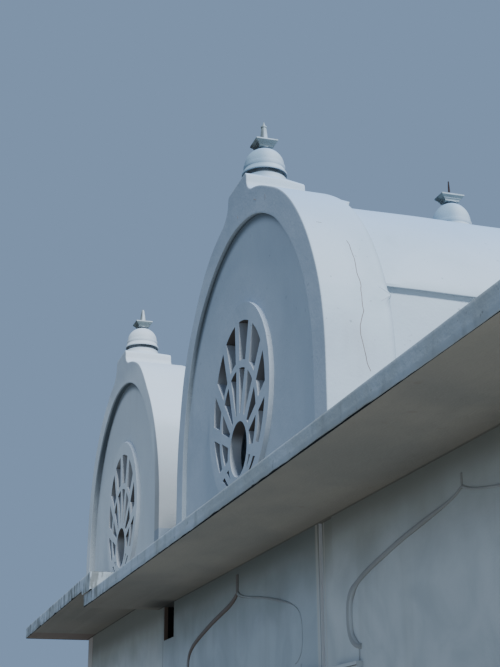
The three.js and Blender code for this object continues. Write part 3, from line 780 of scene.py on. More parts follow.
WAYS = {"front": (0, -1), "rear": (0, 1), "left": (-1, 0), "right": (1, 0)}
EDGES = [("hall_front", "front"), ("hall_rear", "rear"), ("hall_end", "right"), ("hall_left", "left"),
         ("wing_front", "front"), ("wing_rear", "rear"), ("wing_end", "left"), ("wing_lap", "right")]
for seed, (name, side) in enumerate(EDGES):
    on_wing = name.startswith("wing")
    low, high = (wing_low, wing_high) if on_wing else (slab_low, slab_high)
    outward = Vector(WAYS[side])
    start = Vector((high.x if side == "right" else low.x, high.y if side == "rear" else low.y))
    end = Vector((low.x if side == "left" else high.x, low.y if side == "front" else high.y))
    edge_coat(f"{name}_edge_coat", start, end, outward, wing_heights if on_wing else hall_heights, seed)
print("edge coats:", len(EDGES))

# %% [markdown]
# Each gable is a portal arch: a plastered band about 28 cm wide and nearly a metre deep
# that stands proud of the vault behind it. On its top sits a square crown block with a
# hollow foot. Nobody drew these arches with a compass: each swells a little towards its
# top, more on one side than on the other, so the radius is looked up in small tables.

# %% Outline of a portal arch
ARCH_OUTER = 2.940
CROWN_RISE = 0.345
CROWN_HALF = 0.352
NECK_HALF = 0.397
NECK_DROP = 0.133
CROWN_FOOT = 0.600
CORNER_ROUND = 0.014
SWELLS = {   # degrees from the top, negative on the left, and metres beyond the circle
    1: ((-27, 0.0), (-12, 0.050), (12, 0.095), (28, 0.095), (48, 0.0)),
    2: ((-47, 0.0), (-27, 0.075), (-10, 0.065), (10, 0.065), (28, 0.0)),
}
crown_top = SPRINGING + ARCH_OUTER + CROWN_RISE
arch_centre = Vector((0, SPRINGING))

def softened(before, corner, after, radius=CORNER_ROUND):
    """Three points that round a corner of the outline."""
    back = corner + (before - corner).normalized() * radius
    on = corner + (after - corner).normalized() * radius
    return [back, (back + on + 2 * corner) / 4, on]

def round_point(degrees, radius):
    """A point at an angle from the top, round the centre of the arch."""
    turn = math.radians(degrees)
    return arch_centre + Vector((math.sin(turn), math.cos(turn))) * radius

def half_outline(number, hand):
    """Outer outline from a foot to the top of the crown; hand is 1 on the right, -1 on the left."""
    outline = [Vector((hand * ARCH_OUTER, z)) for z in steps(-0.02, SPRINGING, 8)]
    crown_angle = math.degrees(math.asin(CROWN_FOOT / ARCH_OUTER))
    for degrees in steps(90, crown_angle, 44)[1:]:
        swell = along(SWELLS[number], hand * degrees)
        outline.append(round_point(hand * degrees, ARCH_OUTER + swell))
    foot = outline[-1]
    neck = Vector((hand * NECK_HALF, crown_top - NECK_DROP))
    bend = Vector((hand * (NECK_HALF + 0.028), (foot.y + neck.y) / 2 - 0.030))
    for t in steps(0, 1, 10)[1:-1]:
        outline.append(foot * (1 - t) ** 2 + bend * 2 * t * (1 - t) + neck * t ** 2)
    shoulder = Vector((hand * (NECK_HALF - 0.005), crown_top - (NECK_HALF - CROWN_HALF)))
    top = Vector((hand * CROWN_HALF, crown_top))
    outline += softened(bend, neck, shoulder)
    outline += softened(neck, shoulder, top)
    outline += softened(shoulder, top, Vector((0, crown_top)))
    return outline + [Vector((top.x * t, crown_top)) for t in (0.8, 0.5, 0.25)]

def whole_outline(number):
    return half_outline(number, 1) + [Vector((0, crown_top))] + half_outline(number, -1)[::-1]

print("arch outline points:", len(whole_outline(1)))

# %% [markdown]
# At each point of the outline stands one section, from the soft front arris over the top
# to the step behind the crown, the wide round of the rear rim, and back along the underside.
# The far arch leans forward by four centimetres as it rises and the near one bulges by one,
# both crown blocks droop towards the rear, and the near arch's rear rim is worn away, so
# each gable has its own small tables. The far gable's left foot stands on the wing's slab.

# %% Portal arches
EDGE_ROUND = 0.009
REAR_ROUNDS = {1: 0.110, 2: 0.130}
REAR_WORN = {1: 0.0, 2: 0.045}
CROWN_DEPTHS = {1: 0.830, 2: 0.795}
CROWN_DROOPS = {1: 0.020, 2: 0.048}
DROOP_START = 0.540
WING_FOOT = 0.095    # a height inside the wing's slab, above the hall's slab
INNER_RADII = {   # degrees from the top, and metres from the arch's centre
    1: ((-90, 2.62), (-60, 2.61), (-30, 2.61), (-10, 2.66), (20, 2.66), (90, 2.65)),
    2: ((-90, 2.615), (-60, 2.625), (-40, 2.662), (-10, 2.662), (12, 2.640), (32, 2.609), (45, 2.585)),
}
LEANS = {    # metres above the slab, and metres back from the upright
    1: ((0, 0.043), (1.0, 0.040), (3.3, 0.0)),
    2: ((1.5, 0.0), (2.6, -0.014), (3.6, -0.010), (4.0, 0.0)),
}

def stand(number, flat):
    """A place on a gable, raised where it would otherwise hang through the wing's slab."""
    over_wing = number == 1 and vault_axes[0] + flat.x < slab_low.x
    return Vector((flat.x, max(flat.y, WING_FOOT) if over_wing else flat.y))

def arch_section(point, outward, arch_depth, number):
    """One closed section as (depth, place in the plane of the outline)."""
    centre = Vector((0, min(point.y, SPRINGING)))
    inward = (centre - point).normalized()
    degrees = math.degrees(math.atan2(point.x, point.y - centre.y))
    inner = centre - inward * along(INNER_RADII[number], degrees)
    on_arch = centre - inward * (ARCH_OUTER + along(SWELLS[number], degrees))
    rise = max(0.0, (point - inner).length - (on_arch - inner).length)
    if rise < 0.005:
        on_arch = point.copy()
    width = (point - inner).length
    rear_round, crown_depth = REAR_ROUNDS[number], CROWN_DEPTHS[number]
    droop = CROWN_DROOPS[number] * min(1.0, rise / CROWN_RISE)
    if not rise:
        crown_depth = min(crown_depth, arch_depth - rear_round - 0.02)
    r, fine = EDGE_ROUND, 0.3 * EDGE_ROUND
    def top_at(back, inset=0.0):
        fall = droop * max(0.0, (back - DROOP_START) / (crown_depth - DROOP_START))
        return back, point - outward * inset - Vector((0, fall))
    section = [(2.5 * r, inner), (r, inner), (fine, inner - inward * fine), (0, inner - inward * r)]
    section += [(0, inner - inward * 2.5 * r)]
    section += [(0, point + inward * width * t) for t in (0.75, 0.5, 0.25)]
    section += [top_at(0, 2.5 * r), top_at(0, r), top_at(fine, fine), top_at(r), top_at(2.5 * r)]
    section += [top_at(crown_depth * t) for t in (0.2, 0.4, 0.6, 0.7, 0.8, 0.9)]
    softer, soft = (fine, r) if rise else (0.0, 0.0)
    section += [top_at(crown_depth - r), top_at(crown_depth - fine, softer), top_at(crown_depth, soft)]
    section.append((crown_depth + fine, on_arch))
    for turn in steps(0, math.pi / 2, 6):
        rim_depth = max(crown_depth + 2 * fine, arch_depth - rear_round * (1 - math.sin(turn)))
        section.append((rim_depth, on_arch + inward * rear_round * (1 - math.cos(turn))))
    return section + [(arch_depth, inner), (arch_depth * 0.66, inner), (arch_depth * 0.33, inner)]

def portal_arch(side, number):
    node = f"{side}_portal_arch_{number}"
    low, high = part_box(node)
    front, towards = (low.y, 1) if side == "front" else (high.y, -1)
    outline = whole_outline(number)
    rings = []
    for before, point, after in zip([outline[0], *outline], outline, [*outline[1:], outline[-1]]):
        along_edge = (after - before).normalized()
        outward = Vector((along_edge.y, -along_edge.x))
        ring = []
        for back, flat in arch_section(point, outward, high.y - low.y - REAR_WORN[number], number):
            back += along(LEANS[number], flat.y)
            flat = stand(number, flat)
            place = Vector((vault_axes[number - 1] + flat.x, front + towards * back, roof_top + flat.y))
            ring.append(uneven(place, 0.006))
        rings.append(ring)
    return loft(f"{node}_plaster", rings, finish=arch_lime, slot="lime_plaster", stands_for=[node])

for number in (1, 2):
    for side in ("front", "rear"):
        portal_arch(side, number)
print("portal arches lofted")

# %% [markdown]
# A crack has opened down the right side of the near arch, where its plaster has shrunk, and
# a few short scratches mark its face. Each is a thin ribbon with a low ridge. Its points
# are first drawn to the nearest place on the arch's uneven skin, so that it lies on the
# plaster everywhere.

# %% Crack in the near arch
CRACK = [   # from the arch's axis, behind its front fascia, above the slab
    (2.563, 0.705, 2.273), (2.640, 0.734, 2.126), (2.772, 0.730, 1.812), (2.824, 0.739, 1.651),
    (2.872, 0.716, 1.463), (2.895, 0.730, 1.345), (2.921, 0.669, 1.165), (2.932, 0.674, 1.054),
    (2.938, 0.695, 0.947), (2.940, 0.714, 0.788), (2.940, 0.762, 0.634),
]
SCRATCHES = [    # measured in the same way
    [(0.731, 0.275, 3.567), (0.848, 0.275, 3.506)], [(1.158, 0.275, 3.434), (1.163, 0.275, 3.345)],
    [(0.071, 0.275, 3.648), (0.083, 0.275, 3.586)], [(2.376, 0.435, 2.503), (2.385, 0.505, 2.495)],
]
CRACK_HALF = 0.006
CRACK_STEPS = 5
near_axis = Vector((vault_axes[1], slab_low.y, roof_top))
near_skin = bpy.data.objects["front_portal_arch_2_plaster"].data
crack_brown = mottled("crack_brown", 0.95, (0.36, 0.29, 0.26, 1), (0.17, 0.12, 0.10, 1), scale=9)

def ribbon(name, marks):
    """A low ridge along the marks, drawn to the nearest places on the near arch."""
    points = [near_axis + Vector(mark) for mark in marks]
    corners = [vertex.co for vertex in near_skin.vertices]
    surface = BVHTree.FromPolygons(corners, [face.vertices for face in near_skin.polygons])
    places = []
    for start, end in zip(points, points[1:]):
        for i in range(CRACK_STEPS):
            place = start.lerp(end, i / CRACK_STEPS)
            places.append(place + noise.noise_vector(place * 7) * 0.020)
    rings = []
    for before, place, after in zip([places[0], *places], places, [*places[1:], places[-1]]):
        spot, normal, *_ = surface.find_nearest(place)
        aside = (after - before).cross(normal).normalized() * CRACK_HALF
        rings.append([spot - aside - normal * 0.001, spot + normal * 0.0025, spot + aside - normal * 0.001])
    return loft(name, rings, finish=crack_brown, slot="lime_plaster")

ribbon("near_arch_crack", CRACK)
for number, scratch in enumerate(SCRATCHES, 1):
    ribbon(f"near_arch_mark_{number}", scratch)
print("crack points:", len(CRACK), "scratches:", len(SCRATCHES))

# %% [markdown]
# Inside each arch stands the tympanum: a plain panel, and on it a raised round field that
# is pierced by a rosette of two rows of openings between eccentric rings. The shape
# follows a rule, so Geometry Nodes make it: discs and bars are primitives with named
# sizes, the bars are instances turned by an angle that each point carries, and boolean
# nodes cut the openings through the field.

# %% Geometry Nodes for the pierced tympanum
class Tree(Nodes):
    """A Geometry Nodes tree whose sizes are inputs with names."""

    def __init__(self, name, **sizes):
        self.tree = bpy.data.node_groups.new(name, "GeometryNodeTree")
        for way in ("INPUT", "OUTPUT"):
            self.tree.interface.new_socket("Geometry", in_out=way, socket_type="NodeSocketGeometry")
        self.sizes = {}
        labels = {size: size.replace("_", " ").title() for size in sizes}
        for size, label in labels.items():
            socket = self.tree.interface.new_socket(label, in_out="INPUT", socket_type="NodeSocketFloat")
            self.sizes[size] = (socket.identifier, sizes[size])
        given = self.tree.nodes.new("NodeGroupInput")
        self.geometry = given.outputs["Geometry"]
        for size, label in labels.items():
            setattr(self, size, given.outputs[label])

    def vector(self, x=0.0, y=0.0, z=0.0):
        return self.node("ShaderNodeCombineXYZ", {0: x, 1: y, 2: z})

    def moved(self, geometry, place, turn=(0, 0, 0)):
        inputs = {"Geometry": geometry, "Translation": place, "Rotation": turn}
        return self.node("GeometryNodeTransform", inputs)

    def boolean(self, operation, inputs):
        return self.node("GeometryNodeMeshBoolean", inputs, operation=operation, solver="EXACT")

    def cut(self, body, *tools):
        return self.boolean("DIFFERENCE", {"Mesh 1": body, "Mesh 2": list(tools)})

    def joined(self, *bodies):
        return self.boolean("UNION", {"Mesh 2": list(bodies)})

    def close(self, geometry, finish):
        whole = self.node("GeometryNodeRealizeInstances", {"Geometry": geometry})
        painted = self.node("GeometryNodeSetMaterial", {"Geometry": whole, "Material": finish})
        self.node("NodeGroupOutput", {"Geometry": painted}, None)

    def run(self, scaffold, **changed):
        """The mesh that the tree makes on a scaffold object, with some sizes changed."""
        modifier = scaffold.modifiers.new(self.tree.name, "NODES")
        modifier.node_group = self.tree
        for size, (identifier, value) in self.sizes.items():
            modifier[identifier] = changed.get(size, value)
        bpy.context.view_layer.update()
        graph = bpy.context.evaluated_depsgraph_get()
        mesh = bpy.data.meshes.new_from_object(scaffold.evaluated_get(graph))
        scaffold.modifiers.clear()
        bpy.data.objects.remove(scaffold)
        return mesh

RIB_ANGLES = (0, 20.3, 42.4, 66, 104)
ROUND_SIDES = 128

tympanum_tree = Tree(
    "pierced_tympanum", panel_radius=2.677, panel_thickness=0.085, springing=SPRINGING,
    field_relief=0.058, field_front=1.230, field_foot=1.230, field_x=-0.030, field_height=1.180,
    outer_radius=1.036, outer_height=1.142, inner_radius=0.689, inner_height=0.896,
    hub_radius=0.338, hub_height=0.579, ring_bar=0.095, outer_rib=0.160, inner_rib=0.122)

def disc(tree, radius, height, front, back):
    """A standing disc between two depths."""
    thickness = tree.math("SUBTRACT", back, front)
    middle = tree.math("MULTIPLY", tree.math("ADD", back, front), 0.5)
    inputs = {"Vertices": ROUND_SIDES, "Radius": radius, "Depth": thickness}
    cylinder = tree.node("GeometryNodeMeshCylinder", inputs)
    return tree.moved(cylinder, tree.vector(0, middle, height), (math.pi / 2, 0, 0))

def rib_fan(tree, width):
    """Bars that spread from the hub, one for each point of the scaffold."""
    size = tree.vector(width, 2.0, 2.6)
    bar = tree.moved(tree.node("GeometryNodeMeshCube", {"Size": size}), (0, 0, 1.3))
    inputs = {"Name": "rib_angle"}
    angle = tree.node("GeometryNodeInputNamedAttribute", inputs, "Attribute", data_type="FLOAT")
    inputs = {"Points": tree.geometry, "Instance": bar, "Rotation": tree.vector(0, angle, 0)}
    fan = tree.node("GeometryNodeInstanceOnPoints", inputs)
    fan = tree.node("GeometryNodeRealizeInstances", {"Geometry": fan})
    fan = tree.boolean("UNION", {"Mesh 2": fan, "Self Intersection": True})
    return tree.moved(fan, tree.vector(0, 0, tree.hub_height))

def raised_field(tree, back):
    """The round field, a flat cone whose foot is a little wider than its face."""
    depth = tree.math("ADD", back, tree.field_relief)
    inputs = {"Vertices": ROUND_SIDES, "Radius Top": tree.field_front, "Radius Bottom": tree.field_foot}
    cone = tree.node("GeometryNodeMeshCone", {**inputs, "Depth": depth})
    return tree.moved(cone, tree.vector(tree.field_x, back, tree.field_height), (math.pi / 2, 0, 0))

def build_tympanum(tree):
    """Depth runs back from the panel's face at 0; the field stands in front of it."""
    panel = disc(tree, tree.panel_radius, tree.springing, 0.0, tree.panel_thickness)
    wide = tree.math("MULTIPLY", tree.panel_radius, 2)
    size = tree.vector(wide, tree.panel_thickness, tree.springing)
    skirt = tree.node("GeometryNodeMeshCube", {"Size": size})
    half_high = tree.math("MULTIPLY", tree.springing, 0.5)
    half_deep = tree.math("MULTIPLY", tree.panel_thickness, 0.5)
    panel = tree.joined(panel, tree.moved(skirt, tree.vector(0, half_deep, half_high)))
    under = tree.moved(tree.node("GeometryNodeMeshCube", {"Size": (8, 8, 4)}), (0, 0, -2))
    plate = tree.cut(tree.joined(panel, raised_field(tree, half_deep)), under)
    outer_row = disc(tree, tree.outer_radius, tree.outer_height, -0.5, 0.5)
    inner_row = disc(tree, tree.inner_radius, tree.inner_height, -0.5, 0.5)
    inner_rim = tree.math("ADD", tree.inner_radius, tree.ring_bar)
    hub_rim = tree.math("ADD", tree.hub_radius, tree.ring_bar)
    inner_round = disc(tree, inner_rim, tree.inner_height, -0.6, 0.6)
    hub_round = disc(tree, hub_rim, tree.hub_height, -0.6, 0.6)
    outer_row = tree.cut(outer_row, inner_round, rib_fan(tree, tree.outer_rib))
    inner_row = tree.cut(inner_row, hub_round, rib_fan(tree, tree.inner_rib))
    hub = disc(tree, tree.hub_radius, tree.hub_height, -0.5, 0.5)
    for holes in (outer_row, inner_row, hub):
        plate = tree.cut(plate, holes)
    tree.close(plate, panel_lime)

build_tympanum(tympanum_tree)

def rib_points():
    """One point for each rib, all at the hub, each with its own angle."""
    mesh = bpy.data.meshes.new("rib_points")
    angles = [sign * angle for angle in RIB_ANGLES for sign in ((1, -1) if angle else (1,))]
    mesh.from_pydata([(0, 0, 0)] * len(angles), [], [])
    rib_angle = mesh.attributes.new("rib_angle", "FLOAT", "POINT")
    rib_angle.data.foreach_set("value", [math.radians(angle) for angle in angles])
    return add("rib_points", mesh)

print("tympanum tree nodes:", len(tympanum_tree.tree.nodes))

# %% [markdown]
# The two gables were cast by eye: the far rosette sits higher in its panel and has a wider
# field, and the near panel stands further forward. So the tree runs twice with different
# sizes. The far panel's left foot is lifted into the wing's slab. A copy for the rear is
# mirrored through the middle of the building, which turns it inside out, so its normals
# are worked out again.

# %% Four tympana
TYMPANUM_SETBACKS = {1: 0.100, 2: 0.060}
FAR_ROSETTE = dict(field_front=1.215, field_foot=1.275, field_x=0.0, field_height=1.250,
                   outer_height=1.217, inner_height=0.961, hub_height=0.634)
tympanum_meshes = {1: tympanum_tree.run(rib_points(), **FAR_ROSETTE), 2: tympanum_tree.run(rib_points())}

def raise_over_wing(mesh):
    """Cuts the far panel where the wing's slab begins and lifts the foot beyond into that slab."""
    shape = bmesh.new()
    shape.from_mesh(mesh)
    for x in (slab_low.x, slab_low.x - 0.01):
        whole = [*shape.verts, *shape.edges, *shape.faces]
        bmesh.ops.bisect_plane(shape, geom=whole, plane_co=(x, 0, 0), plane_no=(1, 0, 0))
    for vertex in shape.verts:
        if vertex.co.x < slab_low.x - 0.005:
            vertex.co.z = max(vertex.co.z, roof_top + WING_FOOT)
    shape.to_mesh(mesh)
    shape.free()

def tympanum(side, number):
    node = f"{side}_tympanum_{number}"
    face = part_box(f"front_portal_arch_{number}")[0].y + TYMPANUM_SETBACKS[number]
    mesh = tympanum_meshes[number].copy()
    for vertex in mesh.vertices:
        vertex.co.y += along(LEANS[number], vertex.co.z)
    mesh.transform(Matrix.Translation((vault_axes[number - 1], face, roof_top)))
    if number == 1:
        raise_over_wing(mesh)
    if side == "rear":
        mesh.transform(Matrix.Translation((0, 2 * depth_middle, 0)) @ Matrix.Diagonal((1, -1, 1, 1)))
    piece = add(f"{node}_plaster", mesh)
    return keep_piece(piece, finish=panel_lime, slot="lime_plaster", stands_for=[node])

for number in (1, 2):
    for side in ("front", "rear"):
        tympanum(side, number)
print("tympanum faces:", {number: len(mesh.polygons) for number, mesh in tympanum_meshes.items()})

# %% [markdown]
# Behind the arch runs the vault: an upright side, a drip edge that throws rain clear of
# it, and the barrel over it. The same section repeats along the depth, so it is a loft.
# Both ends reach a little into the arches.

# %% Vaults
VAULT_OUTER = 2.815
VAULT_THICKNESS = 0.180
DRIP_HEIGHT = 1.788
DRIP_OUT = 0.052
DRIP_LIP = 0.034
VAULT_REACH = 0.08

def vault_section():
    turn = math.asin((DRIP_HEIGHT - SPRINGING) / VAULT_OUTER)
    drip = VAULT_OUTER * math.cos(turn)
    side = drip - DRIP_OUT
    half = [(side, z) for z in steps(-0.01, DRIP_HEIGHT - 0.002, 14)]
    half += [(drip - 0.012, DRIP_HEIGHT - DRIP_LIP), (drip - 0.002, DRIP_HEIGHT - DRIP_LIP + 0.004)]
    for angle in steps(turn, math.pi / 2, 30):
        half.append((VAULT_OUTER * math.cos(angle), SPRINGING + VAULT_OUTER * math.sin(angle)))
    outer = half + [(-x, z) for x, z in half[-2::-1]]
    inside = VAULT_OUTER - VAULT_THICKNESS
    wall = side - VAULT_THICKNESS
    inner_turn = math.acos(wall / inside)
    inner = [(wall, -0.01)]
    for angle in steps(inner_turn, math.pi / 2, 16):
        inner.append((inside * math.cos(angle), SPRINGING + inside * math.sin(angle)))
    inner += [(-x, z) for x, z in inner[-2::-1]]
    return outer + inner[::-1]

def vault(number):
    node = f"vault_{number}"
    low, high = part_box(node)
    rings = []
    for y in steps(low.y - VAULT_REACH, high.y + VAULT_REACH, 36):
        section = [stand(number, Vector(place)) for place in vault_section()]
        places = [Vector((vault_axes[number - 1] + flat.x, y, roof_top + flat.y)) for flat in section]
        rings.append([uneven(place, 0.010) for place in places])
    return loft(f"{node}_plaster", rings, finish=vault_lime, slot="lime_plaster",
                stands_for=[node], sharp=25)

for number in (1, 2):
    vault(number)
print("vault section points:", len(vault_section()))

# %% [markdown]
# A finial stands on every crown and on every ridge: a hollow-sided foot, a narrow neck that
# reads as a dark groove, and a bell with a flared rim and a raised band. The ridge bells are
# taller. Round pieces are turned on a lathe: a profile spun round the axis.

# %% Turned pieces
FINIAL_SETBACK = 0.656
PEDESTAL_HEIGHT = 0.172
GROOVE_HEIGHT = 0.058
GROOVE_RADIUS = 0.266
RIM_RADIUS = 0.300
BELL_RADIUS = 0.263
BELL_HEIGHT = 0.413
RIDGE_BELL_HEIGHT = 0.470
LATHE_SIDES = 72

def turned(name, profile, x, y, base, roughly=0.003, **keep):
    """A closed body from radii and heights, from the axis at the bottom to the axis at the top."""
    points = [Vector((x, y, base + profile[0][1]))]
    for radius, height in profile[1:-1]:
        for i in range(LATHE_SIDES):
            angle = 2 * math.pi * i / LATHE_SIDES
            place = Vector((x + radius * math.cos(angle), y + radius * math.sin(angle), base + height))
            points.append(uneven(place, roughly, 0.35))
    points.append(Vector((x, y, base + profile[-1][1])))
    faces = []
    rows = len(profile) - 2
    for i in range(LATHE_SIDES):
        j = (i + 1) % LATHE_SIDES
        faces.append((0, 1 + j, 1 + i))
        for row in range(rows - 1):
            a, b = 1 + row * LATHE_SIDES, 1 + (row + 1) * LATHE_SIDES
            faces.append((a + i, a + j, b + j, b + i))
        last = 1 + (rows - 1) * LATHE_SIDES
        faces.append((last + i, last + j, len(points) - 1))
    return piece_from(name, points, faces, **keep)

def pedestal_profile(foot):
    head, lip = RIM_RADIUS - 0.008, PEDESTAL_HEIGHT - GROOVE_HEIGHT
    profile = [(0, -0.06), (foot, -0.06), (foot, 0.0)]
    profile += [(head + (foot - head) * (1 - t) ** 3, t * lip) for t in steps(0.08, 0.94, 10)]
    return profile + [(head - 0.003, lip - 0.004), (head - 0.010, lip), (0, lip + 0.004)]

def neck_profile():
    low, high = PEDESTAL_HEIGHT - GROOVE_HEIGHT - 0.01, PEDESTAL_HEIGHT + 0.012
    return [(0, low), (GROOVE_RADIUS, low), (GROOVE_RADIUS, high), (0, high)]

BELL_RIM = [    # metres in from the rim, and height
    (0.075, 0.02), (0.02, 0.0), (0.004, 0.002), (0, 0.010), (0, 0.024), (0.006, 0.034), (0.022, 0.052)]
BELL_BAND = [   # metres out from the bell, and height
    (0.010, 0.076), (0.008, 0.084), (0.012, 0.092), (0.014, 0.115), (0.012, 0.138), (0.001, 0.146)]

def bell_profile(tall):
    shoulder, crown_room = 0.155, 0.018
    profile = [(0, 0.02)] + [(RIM_RADIUS - inset, height) for inset, height in BELL_RIM]
    profile += [(BELL_RADIUS + proud, height) for proud, height in BELL_BAND]
    for angle in steps(0, math.radians(79), 14):
        height = shoulder + (tall - shoulder - crown_room) * math.sin(angle)
        profile.append((BELL_RADIUS * math.cos(angle), height))
    return profile + [(0.092, tall - 0.004), (0.09, tall + 0.004), (0, tall + 0.004)]

def finial_place(side, number):
    """Axis of a finial in plan and the height of the top that carries it."""
    x = vault_axes[number - 1]
    if side == "ridge":
        return x, depth_middle, roof_top + SPRINGING + VAULT_OUTER
    front = slab_low.y + FINIAL_SETBACK
    return x, front if side == "front" else 2 * depth_middle - front, roof_top + crown_top

finials = [(side, number) for side in ("front", "rear", "ridge") for number in (1, 2)]
for side, number in finials:
    x, y, base = finial_place(side, number)
    foot, tall = CROWN_HALF - 0.008, BELL_HEIGHT
    if side == "ridge":
        foot, tall = RIM_RADIUS + 0.04, RIDGE_BELL_HEIGHT
    name = f"{side}_finial_{number}"
    turned(f"{name}_foot", pedestal_profile(foot), x, y, base, finish=finial_lime, slot="lime_plaster")
    turned(f"{name}_neck", neck_profile(), x, y, base, finish=neck_lime, slot="lime_plaster")
    turned(f"{name}_bell_plaster", bell_profile(tall), x, y, base + PEDESTAL_HEIGHT,
           finish=finial_lime, slot="lime_plaster", stands_for=[f"{name}_bell"])
print("bells turned:", len(finials))

# %% [markdown]
# On each bell sits a square block of three slabs with sloping edges, each wider than the
# one below. On the ridges it is narrower along the front than across it. A bevel softens
# the arrises, as on any plastered corner. The spires differ: the near gables' have a ring,
# the far gables' are plain blunt cones, and the ridges carry dark iron rods.

# %% Stepped blocks and spires
HARMIKA_STEPS = [   # half width and height
    (0.092, 0.0), (0.104, 0.028), (0.112, 0.031), (0.120, 0.050),
    (0.128, 0.053), (0.145, 0.070), (0.150, 0.073), (0.150, 0.094),
]
BLOCK_SIZES = (1.0, 1.0, 1.0)           # height, and widths along and across the front
RIDGE_BLOCK_SIZES = (1.08, 0.7992, 1.134)
RINGED_SPIRE = [    # radius and height, as for the next two
    (0, -0.01), (0.060, -0.01), (0.058, 0.003), (0.052, 0.03), (0.046, 0.107), (0.035, 0.215),
    (0.034, 0.222), (0.041, 0.226), (0.042, 0.233), (0.040, 0.241), (0.030, 0.247),
    (0.024, 0.255), (0.012, 0.280), (0.006, 0.305), (0.003, 0.312), (0, 0.315),
]
PLAIN_SPIRE = [
    (0, -0.01), (0.060, -0.01), (0.057, 0.003), (0.050, 0.06), (0.038, 0.15), (0.026, 0.225),
    (0.018, 0.252), (0.008, 0.261), (0, 0.262),
]
IRON_ROD = [
    (0, -0.01), (0.030, -0.01), (0.026, 0.012), (0.017, 0.03), (0.014, 0.13), (0.009, 0.235), (0, 0.240),
]
rusty_iron = mottled("iron_rod", 0.7, (0.022, 0.018, 0.020, 1), (0.06, 0.035, 0.03, 1), scale=20)

def square_steps(name, x, y, base, sizes, **keep):
    tall, along_front, across = sizes
    rings = []
    for half, height in HARMIKA_STEPS:
        places = [(x + sx * half * along_front, y + sy * half * across, base + height * tall)
                  for sx, sy in ((-1, -1), (1, -1), (1, 1), (-1, 1))]
        rings.append([uneven(place, 0.004, 0.12) for place in places])
    piece = loft(name, rings, **keep)
    soft = piece.modifiers.new("soft_arrises", "BEVEL")
    soft.width = 0.004
    soft.segments = 2
    soft.limit_method = "ANGLE"
    return piece

for side, number in finials:
    x, y, base = finial_place(side, number)
    sizes, tall, finish = BLOCK_SIZES, BELL_HEIGHT, soot_and_shade_lime
    profile = RINGED_SPIRE if number == 2 else PLAIN_SPIRE
    if side == "ridge":
        sizes, tall, finish, profile = RIDGE_BLOCK_SIZES, RIDGE_BELL_HEIGHT, rusty_iron, IRON_ROD
    name = f"{side}_finial_{number}"
    bottom = base + PEDESTAL_HEIGHT + tall
    square_steps(f"{name}_harmika_plaster", x, y, bottom, sizes, finish=soot_and_shade_lime, slot="lime_plaster",
                 stands_for=[f"{name}_harmika"])
    top = bottom + HARMIKA_STEPS[-1][1] * sizes[0]
    turned(f"{name}_spire", profile, x, y, top, 0.001, finish=finish, slot="lime_plaster")
print("stepped blocks and spires ready")

# %% [markdown]
# On the wall of each bay runs a thin relief arch, a shallow rounded fillet. It bends down
# from a spike in the middle to upright sides that curl in above small capitals. It swells
# and thins on its way, so each point of the path carries its own share of the full width.
# A moulding is one profile drawn along one path, which Curve to Mesh does.

# %% Relief arches on the walls
OGEE_HALF = [
    (-2.564, 1.580), (-2.655, 1.560), (-2.770, 1.490), (-2.832, 1.390), (-2.850, 1.250),
    (-2.835, 1.100), (-2.765, 0.985), (-2.600, 0.885), (-2.240, 0.785), (-1.465, 0.637), (-0.970, 0.562),
    (-0.430, 0.485), (-0.150, 0.430), (0, 0.375),
]
FAR_LEFT = dict(narrower=0.96, sag=0.022)    # the far arch's left half hangs a little lower
FAR_RIGHT = dict(narrower=0.94)
STEM_X = 2.620
STEM_DROPS = (1.600, 1.735)
STEM_SHARE = 0.3
WIDTHS = {   # metres from the axis, and share of the full width
    1: ((-3, 0.9), (-0.1, 0.9), (0.3, 0.40), (1.9, 0.45), (2.5, 0.22), (3, 0.22)),
    2: ((-3, 1.5), (-2.76, 1.4), (-2.60, 0.8), (-1.0, 0.75), (-0.1, 0.4), (0.3, 0.32), (3, 0.32)),
}
SPIKE_TOPS = {1: 0.110, 2: 0.250}
SPIKE_FOOT = 0.400

bead_tree = Tree("bead_moulding", half_width=0.040, relief=0.034, step=0.03)

def sweep(tree, profile):
    """The profile drawn along the path, with its own up turned away from the wall."""
    inputs = {"Curve": tree.geometry, "Length": tree.step}
    path = tree.node("GeometryNodeResampleCurve", inputs, mode="LENGTH")
    path = tree.node("GeometryNodeSetCurveNormal", {"Curve": path, "Normal": (0, -1, 0)}, mode="FREE")
    share = tree.node("GeometryNodeInputRadius", {})
    inputs = {"Curve": path, "Profile Curve": profile, "Fill Caps": True, "Scale": share}
    return tree.node("GeometryNodeCurveToMesh", inputs)

def oval(tree, half_width, relief):
    circle = tree.node("GeometryNodeCurvePrimitiveCircle", {"Resolution": 16, "Radius": 1.0})
    scale = tree.vector(relief, half_width, 1.0)
    return tree.node("GeometryNodeTransform", {"Geometry": circle, "Scale": scale})

bead = sweep(bead_tree, oval(bead_tree, bead_tree.half_width, bead_tree.relief))
bead_tree.close(bead, relief_paint)

def moulding_path(name, runs):
    """A curve with one straight-jointed spline for each run of (place, share of the full width)."""
    curve = bpy.data.curves.new(name, "CURVE")
    curve.dimensions = "3D"
    for run in runs:
        spline = curve.splines.new("POLY")
        spline.points.add(len(run) - 1)
        for point, (place, share) in zip(spline.points, run):
            point.co = (*place, 1)
            point.radius = share
    return add(name, curve)

def rounded_run(points):
    """A smooth curve through the points, four steps between each pair."""
    ends = [points[0], *points, points[-1]]
    run = []
    for a, b, c, d in zip(ends, ends[1:], ends[2:], ends[3:]):
        for t in (0, 0.25, 0.5, 0.75):
            run.append(0.5 * ((2 * b) + (c - a) * t + (2 * a - 5 * b + 4 * c - d) * t ** 2
                              + (3 * b - a - 3 * c + d) * t ** 3))
    return run + [points[-1]]

